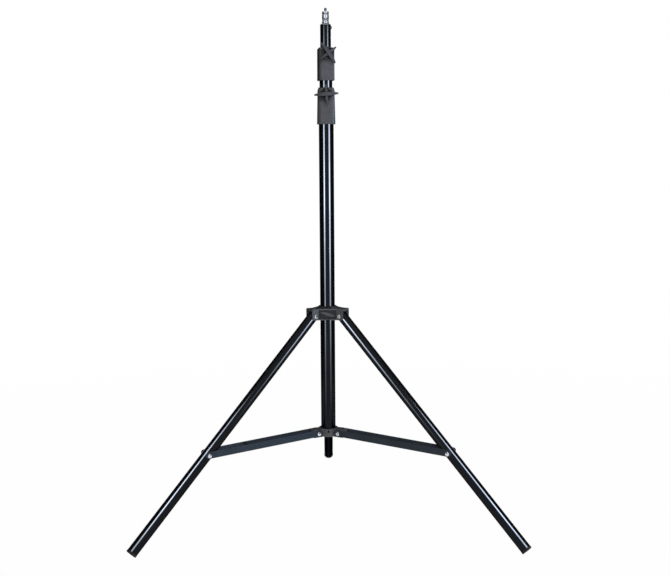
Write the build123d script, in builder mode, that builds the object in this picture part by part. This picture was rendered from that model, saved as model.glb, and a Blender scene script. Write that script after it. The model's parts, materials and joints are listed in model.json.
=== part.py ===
from build123d import *

import os
from math import asin, atan2, cos, degrees, hypot, radians, sin

# Folding lighting stand: three nested tubes on a three-legged base.
#
# The origin is on the floor under the column's axis, +Z is up, and the rear leg points
# along +Y, so the two front legs open towards -Y. Everything is drawn as it stands with
# the legs open and the two upper column sections down. All lengths are in millimetres.
#
# How it works: the legs hang from a crown that slides on the lowest column tube. A brace
# joins each leg to a hub fixed at the foot of that tube. Sliding the crown up folds the
# legs in beside the column and swings the braces up. Each upper section is held by a
# cross-shaped knob, whose screw pushes a pad against the section's tube.

# ------------------------------------------------------------------ column tubes
tube_wall = 1.5
base_tube_od = 35.0
middle_tube_od = 30.0
top_tube_od = 25.0
base_tube_length = 789.0
middle_rise = 92.0               # middle tube's end above the base tube's, when down
top_rise = 88.8                  # top tube's end above the middle tube's, when down
middle_room = 22.0               # middle guide above the hub's floor, when down
top_room = 46.0                  # top guide above the middle guide's plug, when down
slide_gap = 0.1                  # radial gap of a tube in its guides
seat_gap = 0.05                  # radial gap of a piece fixed in another
guide_height = 12.0
guide_plug = 12.0                # how far a guide ring's plug goes up its own tube
guide_bore = 8.0
edge_break = 1.0                 # chamfer on the ends of guides, screws and the crown
cut_past = 1.0                   # how far a cut runs past the face that it opens

# ------------------------------------------------------------------ folding base
legs = {"left": 210.0, "right": 330.0, "rear": 90.0}
leg_od = 25.0
leg_wall = 1.5
leg_length = 681.0               # leg pivot to the sole of the foot
leg_top = 7.0                    # leg tube beyond its pivot
leg_open = 43.4                  # degrees from the vertical, open
leg_folded = 1.0                 # degrees from the vertical, folded
leg_pivot_r = 39.5
brace_on_leg = 407.3             # leg pivot to the brace's rivet
hub_pivot_r = 33.7
brace_droop = 2.0                # degrees that an open brace falls outwards
foot_od = 25.8
foot_cap = 6.0
foot_edge = 0.8
plug_depth = 24.0                # length of the plugs in the ends of a leg

pin_d = 6.0                      # shank of every pivot rivet
pin_fit = 0.08                   # radial gap of a piece that turns on a rivet
pin_head_d = 10.0
pin_head_h = 2.2
pin_side_gap = 0.15              # end gap between a rivet's head and what turns under it
arm_gap = 0.5                    # side gap of a leg between two cheeks or flanges

# ------------------------------------------------------------------ crown
cheek = 2.2
crown_reach = 50.0
crown_below = 9.2                # crown's lower edge under the leg pivots
crown_above = 17.7               # crown's roof above the leg pivots
roof = 2.5
roof_lip = 2.8                   # lip that hangs from the roof's outer edge
roof_lip_wall = 2.0
sleeve_wall = 3.2
bush_wall = 2.0
bush_flange = 1.2
bush_flange_rim = 1.6
boss_height = 3.0
boss_wall = 3.9
panel_distance = 30.3            # flat outer panels between the legs, from the axis
panel_wall = 1.9
panel_recess = 1.6
panel_rim = 2.8
notch_width = 16.0
notch_height = 5.0
crown_corner = 7.0

# ------------------------------------------------------------------ hub and braces
hub_radius = 23.5
hub_below = 9.4                  # hub's underside below its pivots
hub_above = 9.6
hub_floor = 3.0                  # floor that the base tube stands on
lug_reach = 47.0
lug_corner = 4.0
hub_edge = 1.0
hub_screw_rise = 4.5             # hub screw above the hub's pivots
hub_screw_d = 4.0
hub_screw_head_d = 7.0
hub_screw_head_h = 1.8
brace_wall = 1.8
brace_below = 6.6                # flange's lower edge below the brace's pivots
brace_above = 9.3
brace_inner_end = 11.0           # flange beyond the hub rivet
brace_outer_end = 9.0            # flange beyond the leg rivet
brace_end_round = 7.0
brace_bend = 1.5
web_start = 27.0                 # the top web runs from here, measured from the hub rivet,
web_end = 188.0                  # to here, clear of the leg's sweep as the base folds

# ------------------------------------------------------------------ locks
lower_collar_below = 46.0        # collar below and above the end of its own tube
lower_collar_above = 37.0
lower_collar_width = 39.4
lower_collar_flare = 3.2         # extra width at the collar's foot
lower_collar_corner = 8.0
lower_lock_rise = 21.7           # knob's axis above the end of the collar's tube
lower_lock_azimuth = 271.5
lower_wing_angle = 4.0
upper_collar_below = 37.5
upper_collar_above = 36.5
upper_collar_width = 36.2
upper_collar_flare = 0.6
upper_collar_corner = 6.0
upper_lock_rise = 22.7
upper_lock_azimuth = 280.0
upper_wing_angle = -54.0
collar_crown = 9.0               # height of the sloping shoulder at a collar's top
collar_slope = 2.4               # how far that shoulder comes in
upper_collar_crown = 3.0
upper_collar_slope = 1.6
collar_bush_wall = 2.0
pad_d = 13.0
pad_thickness = 3.0
pad_gap = 0.3                    # pad to tube
pad_bore_gap = 0.3               # pad to its bore, radial
pad_room = 1.5                   # room behind a pad that is backed right off
insert_d = 12.0
insert_length = 5.0
insert_flange_d = 14.0
insert_flange = 1.0
boss_d = 19.0
screw_d = 8.0
screw_gap = 0.1
screw_end_gap = 0.05             # screw's tip to the pad
knob_gap = 1.0                   # knob to the collar's boss when it is tight
knob_stem_d = 17.0
knob_stem = 5.0
knob_web = 5.0
knob_socket = 11.5               # how deep the screw is set in the knob
knob_web_half = 20.0
knob_web_waist = 9.2             # the web's sides bow in to this, on the diagonal
knob_height = 18.0
main_wing = 56.0
main_wing_mid = 8.8
cross_wing = 46.0
cross_wing_mid = 7.0
cross_wing_drop = 1.5            # the cross wing stands this much lower than the main one
wing_tip = 3.2
wing_tip_drop = 9.0              # how far a wing's tip is swept back
wing_edge = 0.6                  # chamfer round its front face
wing_foot = 1.5                  # a wing's back edge lies this far into the web

# ------------------------------------------------------------------ spigot
spigot_d = 16.0
spigot_length = 30.4             # above the end of the top tube, without its stud
spigot_plug = 28.0
spigot_base_d = 24.4
spigot_base_h = 1.2
spigot_cone_h = 2.6
spigot_edge = 1.0
groove_rise = 10.0               # grooves above the end of the top tube
groove_width = 3.0
groove_depth = 0.9
shoulder_groove_rise = 23.7
shoulder_groove_depth = 0.5
stud_d = 6.35
stud_length = 8.4
stud_edge = 0.6
stud_neck = 0.6
side_screw_drop = 6.1            # side screw below the end of the top tube
side_screw_azimuth = 345.0
side_screw_d = 5.0
side_screw_depth = 5.0
side_screw_head_d = 7.4
side_screw_head_h = 2.3

# ------------------------------------------------------------------ worked out from the above
open_angle = radians(leg_open)
leg_pivot_z = (
    (leg_length - foot_edge) * cos(open_angle)
    + (foot_od / 2 - foot_edge) * sin(open_angle)
    + foot_edge
)
rivet_r = leg_pivot_r + brace_on_leg * sin(open_angle)
rivet_z = leg_pivot_z - brace_on_leg * cos(open_angle)
brace_length = (rivet_r - hub_pivot_r) / cos(radians(brace_droop))
hub_pivot_z = rivet_z + brace_length * sin(radians(brace_droop))
crown_bottom = leg_pivot_z - crown_below
crown_top = leg_pivot_z + crown_above
roof_under = crown_top - roof
hub_bottom = hub_pivot_z - hub_below
hub_top = hub_pivot_z + hub_above
hub_floor_top = hub_bottom + hub_floor
base_tube_top = hub_floor_top + base_tube_length
middle_tube_top = base_tube_top + middle_rise
middle_tube_bottom = hub_floor_top + middle_room + guide_height
top_tube_top = middle_tube_top + top_rise
top_tube_bottom = middle_tube_bottom + guide_plug + top_room + guide_height
side_screw_height = top_tube_top - side_screw_drop
arm_inner = leg_od / 2 + arm_gap          # inner face of a cheek or flange, from mid leg
cheek_outer = arm_inner + cheek
flange_outer = arm_inner + brace_wall
bush_bore = base_tube_od / 2 + slide_gap
crown_bore = bush_bore + bush_wall + seat_gap
sleeve_radius = crown_bore + sleeve_wall
boss_radius = crown_bore + boss_wall

# how far the base folds: the crown's travel and the angles that the legs and braces turn
folded_rivet_r = leg_pivot_r + brace_on_leg * sin(radians(leg_folded))
brace_lean = asin((folded_rivet_r - hub_pivot_r) / brace_length)
folded_height = brace_on_leg * cos(radians(leg_folded)) + brace_length * cos(brace_lean)
crown_travel = folded_height - (leg_pivot_z - hub_pivot_z)
leg_turn = leg_open - leg_folded
brace_turn = 90.0 - degrees(brace_lean) + brace_droop


def arm_plane(azimuth: float, radius: float, height: float, elevation: float = 0.0) -> Plane:
    """Side plane of a leg or brace: x runs outward along it, y up, z along its pivot."""
    a, e = radians(azimuth), radians(elevation)
    return Plane(
        origin=(radius * cos(a), radius * sin(a), height),
        x_dir=(cos(a) * cos(e), sin(a) * cos(e), sin(e)),
        z_dir=(sin(a), -cos(a), 0),
    )


def radial_plane(azimuth: float, radius: float, height: float) -> Plane:
    """Plane that faces outward at an azimuth: x runs sideways, y up, z outward."""
    a = radians(azimuth)
    return Plane(
        origin=(radius * cos(a), radius * sin(a), height),
        x_dir=(-sin(a), cos(a), 0),
        z_dir=(cos(a), sin(a), 0),
    )


def along_leg(azimuth: float, distance: float) -> Plane:
    """Plane across an open leg, at a distance down it from its pivot, facing the foot."""
    a = radians(azimuth)
    outward = leg_pivot_r + distance * sin(open_angle)
    return Plane(
        origin=(outward * cos(a), outward * sin(a), leg_pivot_z - distance * cos(open_angle)),
        x_dir=(sin(a), -cos(a), 0),
        z_dir=(cos(a) * sin(open_angle), sin(a) * sin(open_angle), -cos(open_angle)),
    )


def turned(plane: Plane, angle: float) -> Plane:
    """The same plane, turned in itself by an angle in degrees."""
    a = radians(angle)
    return Plane(
        origin=plane.origin,
        x_dir=plane.x_dir * cos(a) + plane.y_dir * sin(a),
        z_dir=plane.z_dir,
    )


def make_rivet(
    azimuth: float, radius: float, height: float, seat: float, shank_end: float = 0.0
) -> Part:
    """Pivot rivet with a domed head either side, seated at a distance from the middle. It
    goes right through, or is two short rivets whose shanks stop at shank_end."""
    a = radians(azimuth)
    centre = (radius * cos(a), radius * sin(a), height)
    rim, crest = pin_head_d / 2, pin_d / 4
    with BuildPart() as rivet:
        for side in (-1, 1):
            # x runs outward along the leg, y along the rivet
            half = Plane(origin=centre, x_dir=(cos(a), sin(a), 0), z_dir=(0, 0, side))
            with BuildSketch(half):
                with BuildLine():
                    Polyline(
                        (crest, seat + pin_head_h),
                        (0, seat + pin_head_h),
                        (0, shank_end),
                        (pin_d / 2, shank_end),
                        (pin_d / 2, seat),
                        (rim, seat),
                        (rim, seat + pin_head_h * 0.3),
                    )
                    ThreePointArc(
                        (rim, seat + pin_head_h * 0.3),
                        (rim * 0.72, seat + pin_head_h * 0.8),
                        (crest, seat + pin_head_h),
                    )
                make_face()
            revolve(axis=Axis(half.origin, half.y_dir))
    return rivet.part


# ------------------------------------------------------------------ base section
with BuildPart() as base_tube:
    with BuildSketch(Plane.XY.offset(hub_floor_top)):
        Circle(base_tube_od / 2)
        Circle(base_tube_od / 2 - tube_wall, mode=Mode.SUBTRACT)
    extrude(amount=base_tube_length)
    # hole for the hub's screw
    with BuildSketch(radial_plane(270, 0, hub_pivot_z + hub_screw_rise)):
        Circle(hub_screw_d / 2 + seat_gap)
    extrude(amount=base_tube_od, mode=Mode.SUBTRACT)

with BuildPart() as hub:
    with BuildSketch(Plane.XY.offset(hub_bottom)):
        Circle(hub_radius)
        for azimuth in legs.values():
            with Locations(Rot(0, 0, azimuth)):
                Rectangle(lug_reach, leg_od, align=(Align.MIN, Align.CENTER))
    extrude(amount=hub_top - hub_bottom)
    lug_ends = hub.edges().filter_by(Axis.Z).filter_by(
        lambda e: hypot(e.center().X, e.center().Y) > lug_reach - 1
    )
    fillet(lug_ends, lug_corner)
    chamfer(hub.faces().sort_by(Axis.Z)[-1].outer_wire().edges(), hub_edge)
    chamfer(hub.faces().sort_by(Axis.Z)[0].outer_wire().edges(), hub_edge)
    with BuildSketch(Plane.XY.offset(hub_floor_top)):
        Circle(base_tube_od / 2 + seat_gap)
    extrude(amount=hub_top - hub_floor_top + cut_past, mode=Mode.SUBTRACT)
    for azimuth in legs.values():
        with BuildSketch(arm_plane(azimuth, hub_pivot_r, hub_pivot_z)):
            Circle(pin_d / 2 + seat_gap)
        extrude(amount=leg_od, both=True, mode=Mode.SUBTRACT)
    with BuildSketch(radial_plane(270, 0, hub_pivot_z + hub_screw_rise)):
        Circle(hub_screw_d / 2 + seat_gap)
    extrude(amount=hub_radius + cut_past, mode=Mode.SUBTRACT)

with BuildPart() as hub_screw:
    # shank through the hub and the tube's wall, with a domed head outside
    with BuildSketch(
        radial_plane(270, base_tube_od / 2 - tube_wall, hub_pivot_z + hub_screw_rise)
    ):
        Circle(hub_screw_d / 2)
    extrude(amount=hub_radius - base_tube_od / 2 + tube_wall)
    with BuildSketch(radial_plane(270, hub_radius, hub_pivot_z + hub_screw_rise)):
        Circle(hub_screw_head_d / 2)
    extrude(amount=hub_screw_head_h)
    fillet(hub_screw.edges().group_by(Axis.Y)[0], hub_screw_head_h * 0.55)

hub_rivets = [
    make_rivet(azimuth, hub_pivot_r, hub_pivot_z, flange_outer + pin_side_gap)
    for azimuth in legs.values()
]

# ------------------------------------------------------------------ crown
web_azimuths = [azimuth + 60 for azimuth in legs.values()]
# half width of a flat panel, where it runs into the cheeks on either side, and of the
# hollow behind it
panel_half = (panel_distance * sin(radians(60)) - cheek_outer) / cos(radians(60))
panel_inner = panel_distance - panel_recess - panel_wall
hollow_half = (panel_inner * sin(radians(60)) - cheek_outer) / cos(radians(60))
hollow_apex = cheek_outer / sin(radians(60))
slot_start = sleeve_radius

with BuildPart() as crown:
    with BuildSketch(Plane.XY.offset(crown_bottom)):
        for azimuth in legs.values():
            with Locations(Rot(0, 0, azimuth)):
                Rectangle(crown_reach, 2 * cheek_outer, align=(Align.MIN, Align.CENTER))
        for azimuth in web_azimuths:
            with Locations(Rot(0, 0, azimuth)):
                Rectangle(panel_distance, 2 * panel_half, align=(Align.MIN, Align.CENTER))
    extrude(amount=crown_top - crown_bottom)
    chamfer(crown.faces().sort_by(Axis.Z)[-1].outer_wire().edges(), edge_break)
    # raised boss round the column
    with BuildSketch(Plane.XY.offset(crown_top)):
        Circle(boss_radius)
    extrude(amount=boss_height)
    for azimuth in web_azimuths:
        # shallow panel between the cheeks, with a rim above and below
        with BuildSketch(radial_plane(azimuth, panel_distance, crown_bottom)):
            with Locations((0, panel_rim)):
                Rectangle(
                    2 * (panel_half - panel_rim / 2),
                    crown_top - crown_bottom - 2 * panel_rim,
                    align=(Align.CENTER, Align.MIN),
                )
        extrude(amount=-panel_recess, mode=Mode.SUBTRACT)
        # hollow behind the panel, open below
        with BuildSketch(Plane.XY.offset(crown_bottom).rotated((0, 0, azimuth))):
            Polygon(
                (hollow_apex, 0), (panel_inner, -hollow_half), (panel_inner, hollow_half),
                align=None,
            )
            Circle(sleeve_radius, mode=Mode.SUBTRACT)
        extrude(amount=roof_under - crown_bottom, mode=Mode.SUBTRACT)
        # notches at the foot of the panel and in the boss
        with BuildSketch(radial_plane(azimuth, sleeve_radius, crown_bottom)):
            Rectangle(notch_width, notch_height, align=(Align.CENTER, Align.MIN))
        extrude(amount=panel_distance - sleeve_radius, mode=Mode.SUBTRACT)
        with BuildSketch(radial_plane(azimuth, crown_bore - cut_past, crown_top)):
            Rectangle(notch_width, boss_height + cut_past, align=(Align.CENTER, Align.MIN))
        extrude(amount=boss_radius, mode=Mode.SUBTRACT)
    for azimuth in legs.values():
        # slot for the leg, closed above by the roof and at the outer end by its lip
        with BuildSketch(Plane.XY.offset(crown_bottom).rotated((0, 0, azimuth))):
            with Locations((slot_start, 0)):
                Rectangle(
                    crown_reach - roof_lip_wall - slot_start,
                    2 * arm_inner,
                    align=(Align.MIN, Align.CENTER),
                )
        extrude(amount=roof_under - crown_bottom, mode=Mode.SUBTRACT)
        with BuildSketch(Plane.XY.offset(crown_bottom).rotated((0, 0, azimuth))):
            with Locations((slot_start, 0)):
                Rectangle(crown_reach, 2 * arm_inner, align=(Align.MIN, Align.CENTER))
        extrude(amount=roof_under - roof_lip - crown_bottom, mode=Mode.SUBTRACT)
        # rounded lower corners of the cheeks
        with BuildSketch(arm_plane(azimuth, crown_reach, crown_bottom)):
            Rectangle(crown_corner, crown_corner, align=(Align.MAX, Align.MIN))
            with Locations((-crown_corner, crown_corner)):
                Circle(crown_corner, mode=Mode.SUBTRACT)
        extrude(amount=2 * cheek_outer, both=True, mode=Mode.SUBTRACT)
        # rivet hole
        with BuildSketch(arm_plane(azimuth, leg_pivot_r, leg_pivot_z)):
            Circle(pin_d / 2 + seat_gap)
        extrude(amount=2 * cheek_outer, both=True, mode=Mode.SUBTRACT)
    with BuildSketch(Plane.XY.offset(crown_bottom)):
        Circle(crown_bore)
    extrude(amount=crown_top + boss_height - crown_bottom, mode=Mode.SUBTRACT)

with BuildPart() as crown_bush:
    # friction bush between the crown and the column, with a thin flange on top
    with BuildSketch(Plane.XY.offset(crown_bottom)):
        Circle(bush_bore + bush_wall)
    extrude(amount=crown_top + boss_height - crown_bottom)
    with BuildSketch(Plane.XY.offset(crown_top + boss_height)):
        Circle(bush_bore + bush_wall + bush_flange_rim)
    extrude(amount=bush_flange)
    with BuildSketch(Plane.XY.offset(crown_bottom)):
        Circle(bush_bore)
    extrude(amount=2 * (crown_top - crown_bottom), mode=Mode.SUBTRACT)

crown_rivets = [
    make_rivet(azimuth, leg_pivot_r, leg_pivot_z, cheek_outer) for azimuth in legs.values()
]


# ------------------------------------------------------------------ legs and braces
def make_leg(azimuth: float) -> tuple[Part, Part, Part]:
    """Leg tube, the plug in its upper end and the cap on its foot."""
    bore = leg_od / 2 - leg_wall
    tube_length = leg_top + leg_length - foot_cap
    with BuildPart() as tube:
        with BuildSketch(along_leg(azimuth, -leg_top)):
            Circle(leg_od / 2)
            Circle(bore, mode=Mode.SUBTRACT)
        extrude(amount=tube_length)
        for distance in (0, brace_on_leg):
            outward = leg_pivot_r + distance * sin(open_angle)
            height = leg_pivot_z - distance * cos(open_angle)
            with BuildSketch(arm_plane(azimuth, outward, height)):
                Circle(pin_d / 2 + pin_fit)
            extrude(amount=leg_od, both=True, mode=Mode.SUBTRACT)
    with BuildPart() as plug:
        with BuildSketch(along_leg(azimuth, -leg_top)):
            Circle(bore - seat_gap)
        extrude(amount=plug_depth)
        with BuildSketch(arm_plane(azimuth, leg_pivot_r, leg_pivot_z)):
            Circle(pin_d / 2 + pin_fit)
        extrude(amount=leg_od, both=True, mode=Mode.SUBTRACT)
    with BuildPart() as foot:
        with BuildSketch(along_leg(azimuth, leg_length)):
            Circle(foot_od / 2)
        extrude(amount=-foot_cap)
        fillet(foot.edges().sort_by(lambda e: e.center().Z)[0], foot_edge)
        with BuildSketch(along_leg(azimuth, leg_length - foot_cap)):
            Circle(bore - seat_gap)
        extrude(amount=-plug_depth)
    return tube.part, plug.part, foot.part


def make_brace(azimuth: float) -> Part:
    """Pressed channel, open below, that straddles the hub's lug and the leg."""
    side = arm_plane(azimuth, hub_pivot_r, hub_pivot_z, -brace_droop)
    height = brace_below + brace_above
    with BuildPart() as brace:
        with BuildSketch(side):
            with Locations((-brace_inner_end, -brace_below)):
                Rectangle(
                    brace_inner_end + brace_length + brace_outer_end,
                    height,
                    align=(Align.MIN, Align.MIN),
                )
        extrude(amount=flange_outer, both=True)
        # the two bends between web and flanges, then the rounded ends
        bends = brace.edges().filter_by(Axis(side.origin, side.x_dir)).sort_by(Axis.Z)[-2:]
        fillet(bends, brace_bend)
        with BuildSketch(side):
            with Locations((-brace_inner_end, -brace_below)):
                RectangleRounded(
                    brace_inner_end + brace_length + brace_outer_end,
                    height,
                    brace_end_round,
                    align=(Align.MIN, Align.MIN),
                )
        extrude(amount=flange_outer, both=True, mode=Mode.INTERSECT)
        # inside of the channel: right through at the ends, under the web between
        with BuildSketch(side):
            with Locations((-brace_inner_end - cut_past, -brace_below - cut_past)):
                Rectangle(
                    brace_inner_end + cut_past + web_start,
                    height + 2 * cut_past,
                    align=(Align.MIN, Align.MIN),
                )
            with Locations((web_end, -brace_below - cut_past)):
                Rectangle(brace_length, height + 2 * cut_past, align=(Align.MIN, Align.MIN))
            with Locations((0, -brace_below - cut_past)):
                Rectangle(
                    brace_length, height - brace_wall + cut_past, align=(Align.MIN, Align.MIN)
                )
        extrude(amount=arm_inner, both=True, mode=Mode.SUBTRACT)
        with BuildSketch(side):
            with Locations((0, 0), (brace_length, 0)):
                Circle(pin_d / 2 + pin_fit)
        extrude(amount=2 * flange_outer, both=True, mode=Mode.SUBTRACT)
    return brace.part


# ------------------------------------------------------------------ column sections
def make_tube(outer: float, bottom: float, length: float) -> Part:
    """Plain round tube on the column's axis."""
    with BuildPart() as tube:
        with BuildSketch(Plane.XY.offset(bottom)):
            Circle(outer / 2)
            Circle(outer / 2 - tube_wall, mode=Mode.SUBTRACT)
        extrude(amount=length)
    return tube.part


def make_guide(tube_outer: float, outer_tube: float, bottom: float) -> Part:
    """Ring at the foot of a sliding tube: it fills the tube outside it, and its plug goes
    up inside its own tube."""
    with BuildPart() as guide:
        with BuildSketch(Plane.XY.offset(bottom - guide_height)):
            Circle(outer_tube / 2 - tube_wall - slide_gap)
        extrude(amount=guide_height)
        chamfer(guide.edges().filter_by(GeomType.CIRCLE).sort_by(Axis.Z)[0], edge_break)
        with BuildSketch(Plane.XY.offset(bottom)):
            Circle(tube_outer / 2 - tube_wall - seat_gap)
        extrude(amount=guide_plug)
        with BuildSketch(Plane.XY.offset(bottom - guide_height)):
            Circle(guide_bore / 2)
        extrude(amount=guide_height + guide_plug, mode=Mode.SUBTRACT)
    return guide.part


def make_lock(
    sliding: float, fixed: float, seat: float, below: float, above: float, width: float,
    flare: float, corner: float, shoulder: float, slope: float, rise: float,
    azimuth: float, wing_angle: float,
) -> dict[str, Part]:
    """Collar on the end of a tube, whose height is seat, with the knob, screw, pad and
    bush that hold the sliding tube inside it."""
    bottom, top, height = seat - below, seat + above, seat + rise
    bush_outer = sliding / 2 + slide_gap + collar_bush_wall
    # distances from the column's axis, outward along the knob
    pad_start = sliding / 2 + pad_gap
    pad_end = pad_start + pad_thickness
    insert_start = pad_end + pad_room
    insert_end = insert_start + insert_length + insert_flange
    boss_front = insert_end
    knob_back = boss_front + knob_gap
    body_height = top - bottom - shoulder
    facing = radial_plane(azimuth, 0, height)
    square = Plane.XY.offset(bottom).rotated((0, 0, azimuth))

    with BuildPart() as collar:
        with BuildSketch(square):
            RectangleRounded(width + flare, width + flare, corner + flare / 2)
        extrude(amount=body_height, taper=degrees(atan2(flare / 2, body_height)))
        with BuildSketch(square.offset(body_height)):
            RectangleRounded(width, width, corner)
        extrude(amount=shoulder, taper=degrees(atan2(slope, shoulder)))
        with BuildSketch(facing):
            Circle(boss_d / 2)
        extrude(amount=boss_front)
        with BuildSketch(Plane.XY.offset(bottom)):
            Circle(fixed / 2 + seat_gap)
        extrude(amount=seat - bottom, mode=Mode.SUBTRACT)
        with BuildSketch(Plane.XY.offset(seat)):
            Circle(bush_outer + seat_gap)
        extrude(amount=top - seat + cut_past, mode=Mode.SUBTRACT)
        with BuildSketch(facing):
            Circle(pad_d / 2 + pad_bore_gap)
        extrude(amount=insert_start, mode=Mode.SUBTRACT)
        with BuildSketch(facing):
            Circle(insert_d / 2 + seat_gap)
        extrude(amount=boss_front + cut_past, mode=Mode.SUBTRACT)
        with BuildSketch(facing.offset(insert_end - insert_flange)):
            Circle(insert_flange_d / 2 + seat_gap)
        extrude(amount=insert_flange + cut_past, mode=Mode.SUBTRACT)

    with BuildPart() as bush:
        with BuildSketch(Plane.XY.offset(seat)):
            Circle(bush_outer)
        extrude(amount=top - seat)
        with BuildSketch(Plane.XY.offset(top)):
            Circle(bush_outer + bush_flange)
        extrude(amount=bush_flange)
        with BuildSketch(Plane.XY.offset(seat)):
            Circle(sliding / 2 + slide_gap)
        extrude(amount=2 * (top - seat), mode=Mode.SUBTRACT)
        with BuildSketch(facing):
            Circle(pad_d / 2 + pad_bore_gap)
        extrude(amount=2 * bush_outer, mode=Mode.SUBTRACT)

    with BuildPart() as insert:
        with BuildSketch(facing.offset(insert_start)):
            Circle(insert_d / 2)
        extrude(amount=insert_length)
        with BuildSketch(facing.offset(insert_end - insert_flange)):
            Circle(insert_flange_d / 2)
        extrude(amount=insert_flange)
        with BuildSketch(facing.offset(insert_start)):
            Circle(screw_d / 2 + screw_gap)
        extrude(amount=insert_length + insert_flange, mode=Mode.SUBTRACT)

    with BuildPart() as pad:
        with BuildSketch(facing):
            Circle(pad_d / 2)
        extrude(amount=pad_end)
        with BuildSketch(Plane.XY.offset(height - pad_d)):
            Circle(pad_start)
        extrude(amount=2 * pad_d, mode=Mode.SUBTRACT)

    with BuildPart() as screw:
        with BuildSketch(facing.offset(pad_end + screw_end_gap)):
            Circle(screw_d / 2)
        extrude(amount=knob_back + knob_socket - pad_end - screw_end_gap)
        chamfer(
            screw.edges().filter_by(GeomType.CIRCLE).sort_by(Axis(facing.origin, facing.z_dir))[0],
            edge_break,
        )

    return {
        "collar": collar.part,
        "collar_bush": bush.part,
        "collar_insert": insert.part,
        "brake_pad": pad.part,
        "knob_screw": screw.part,
        "knob": make_knob(facing.offset(knob_back), wing_angle),
    }


def make_wing(grip: Plane, length: float, middle: float, top: float) -> Part:
    """One wing of a knob: a fin across the stem, thickest in the middle, with swept tips."""
    side = Plane(origin=grip.origin, x_dir=grip.x_dir, z_dir=-grip.y_dir)
    with BuildPart() as wing:
        # outline from the front: a slim lens with blunt ends
        with BuildSketch(grip.offset(knob_stem)):
            with BuildLine():
                ThreePointArc(
                    (-length / 2, -wing_tip / 2), (0, -middle / 2), (length / 2, -wing_tip / 2)
                )
                Line((length / 2, -wing_tip / 2), (length / 2, wing_tip / 2))
                ThreePointArc(
                    (length / 2, wing_tip / 2), (0, middle / 2), (-length / 2, wing_tip / 2)
                )
                Line((-length / 2, wing_tip / 2), (-length / 2, -wing_tip / 2))
            make_face()
        extrude(amount=top - knob_stem)
        # outline from the side: the front edge is bowed, so the tips are swept back
        with BuildSketch(side):
            with BuildLine():
                ThreePointArc(
                    (-length / 2, top - wing_tip_drop), (0, top), (length / 2, top - wing_tip_drop)
                )
                Polyline(
                    (length / 2, top - wing_tip_drop),
                    (length / 2, knob_stem + wing_foot),
                    (-length / 2, knob_stem + wing_foot),
                    (-length / 2, top - wing_tip_drop),
                )
            make_face()
        extrude(amount=middle, both=True, mode=Mode.INTERSECT)
        chamfer(wing.faces().sort_by(Axis(grip.origin, grip.z_dir))[-1].edges(), wing_edge)
    return wing.part


def make_knob(back: Plane, wing_angle: float) -> Part:
    """Cross-shaped knob: a stem, a thin web and two wings at right angles."""
    grip = turned(back, wing_angle)
    main = make_wing(grip, main_wing, main_wing_mid, knob_height)
    cross = make_wing(turned(grip, 90), cross_wing, cross_wing_mid, knob_height - cross_wing_drop)
    with BuildPart() as knob:
        add(main)
        add(cross)
        with BuildSketch(grip.offset(knob_stem)):
            Polygon(
                (knob_web_half, 0), (knob_web_waist, knob_web_waist),
                (0, knob_web_half), (-knob_web_waist, knob_web_waist),
                (-knob_web_half, 0), (-knob_web_waist, -knob_web_waist),
                (0, -knob_web_half), (knob_web_waist, -knob_web_waist),
                align=None,
            )
        extrude(amount=knob_web)
        with BuildSketch(grip):
            Circle(knob_stem_d / 2)
        extrude(amount=knob_stem + knob_web / 2)
        with BuildSketch(grip):
            Circle(screw_d / 2 + seat_gap)
        extrude(amount=knob_socket, mode=Mode.SUBTRACT)
    return knob.part


middle_tube = make_tube(
    middle_tube_od, middle_tube_bottom, middle_tube_top - middle_tube_bottom
)
middle_guide = make_guide(middle_tube_od, base_tube_od, middle_tube_bottom)
top_guide = make_guide(top_tube_od, middle_tube_od, top_tube_bottom)
lower_lock = make_lock(
    middle_tube_od, base_tube_od, base_tube_top, lower_collar_below, lower_collar_above,
    lower_collar_width, lower_collar_flare, lower_collar_corner, collar_crown, collar_slope,
    lower_lock_rise, lower_lock_azimuth, lower_wing_angle,
)
upper_lock = make_lock(
    top_tube_od, middle_tube_od, middle_tube_top, upper_collar_below, upper_collar_above,
    upper_collar_width, upper_collar_flare, upper_collar_corner, upper_collar_crown,
    upper_collar_slope, upper_lock_rise, upper_lock_azimuth, upper_wing_angle,
)

with BuildPart() as top_tube:
    with BuildSketch(Plane.XY.offset(top_tube_bottom)):
        Circle(top_tube_od / 2)
        Circle(top_tube_od / 2 - tube_wall, mode=Mode.SUBTRACT)
    extrude(amount=top_tube_top - top_tube_bottom)
    with BuildSketch(radial_plane(side_screw_azimuth, 0, side_screw_height)):
        Circle(side_screw_d / 2 + seat_gap)
    extrude(amount=top_tube_od, mode=Mode.SUBTRACT)

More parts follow.
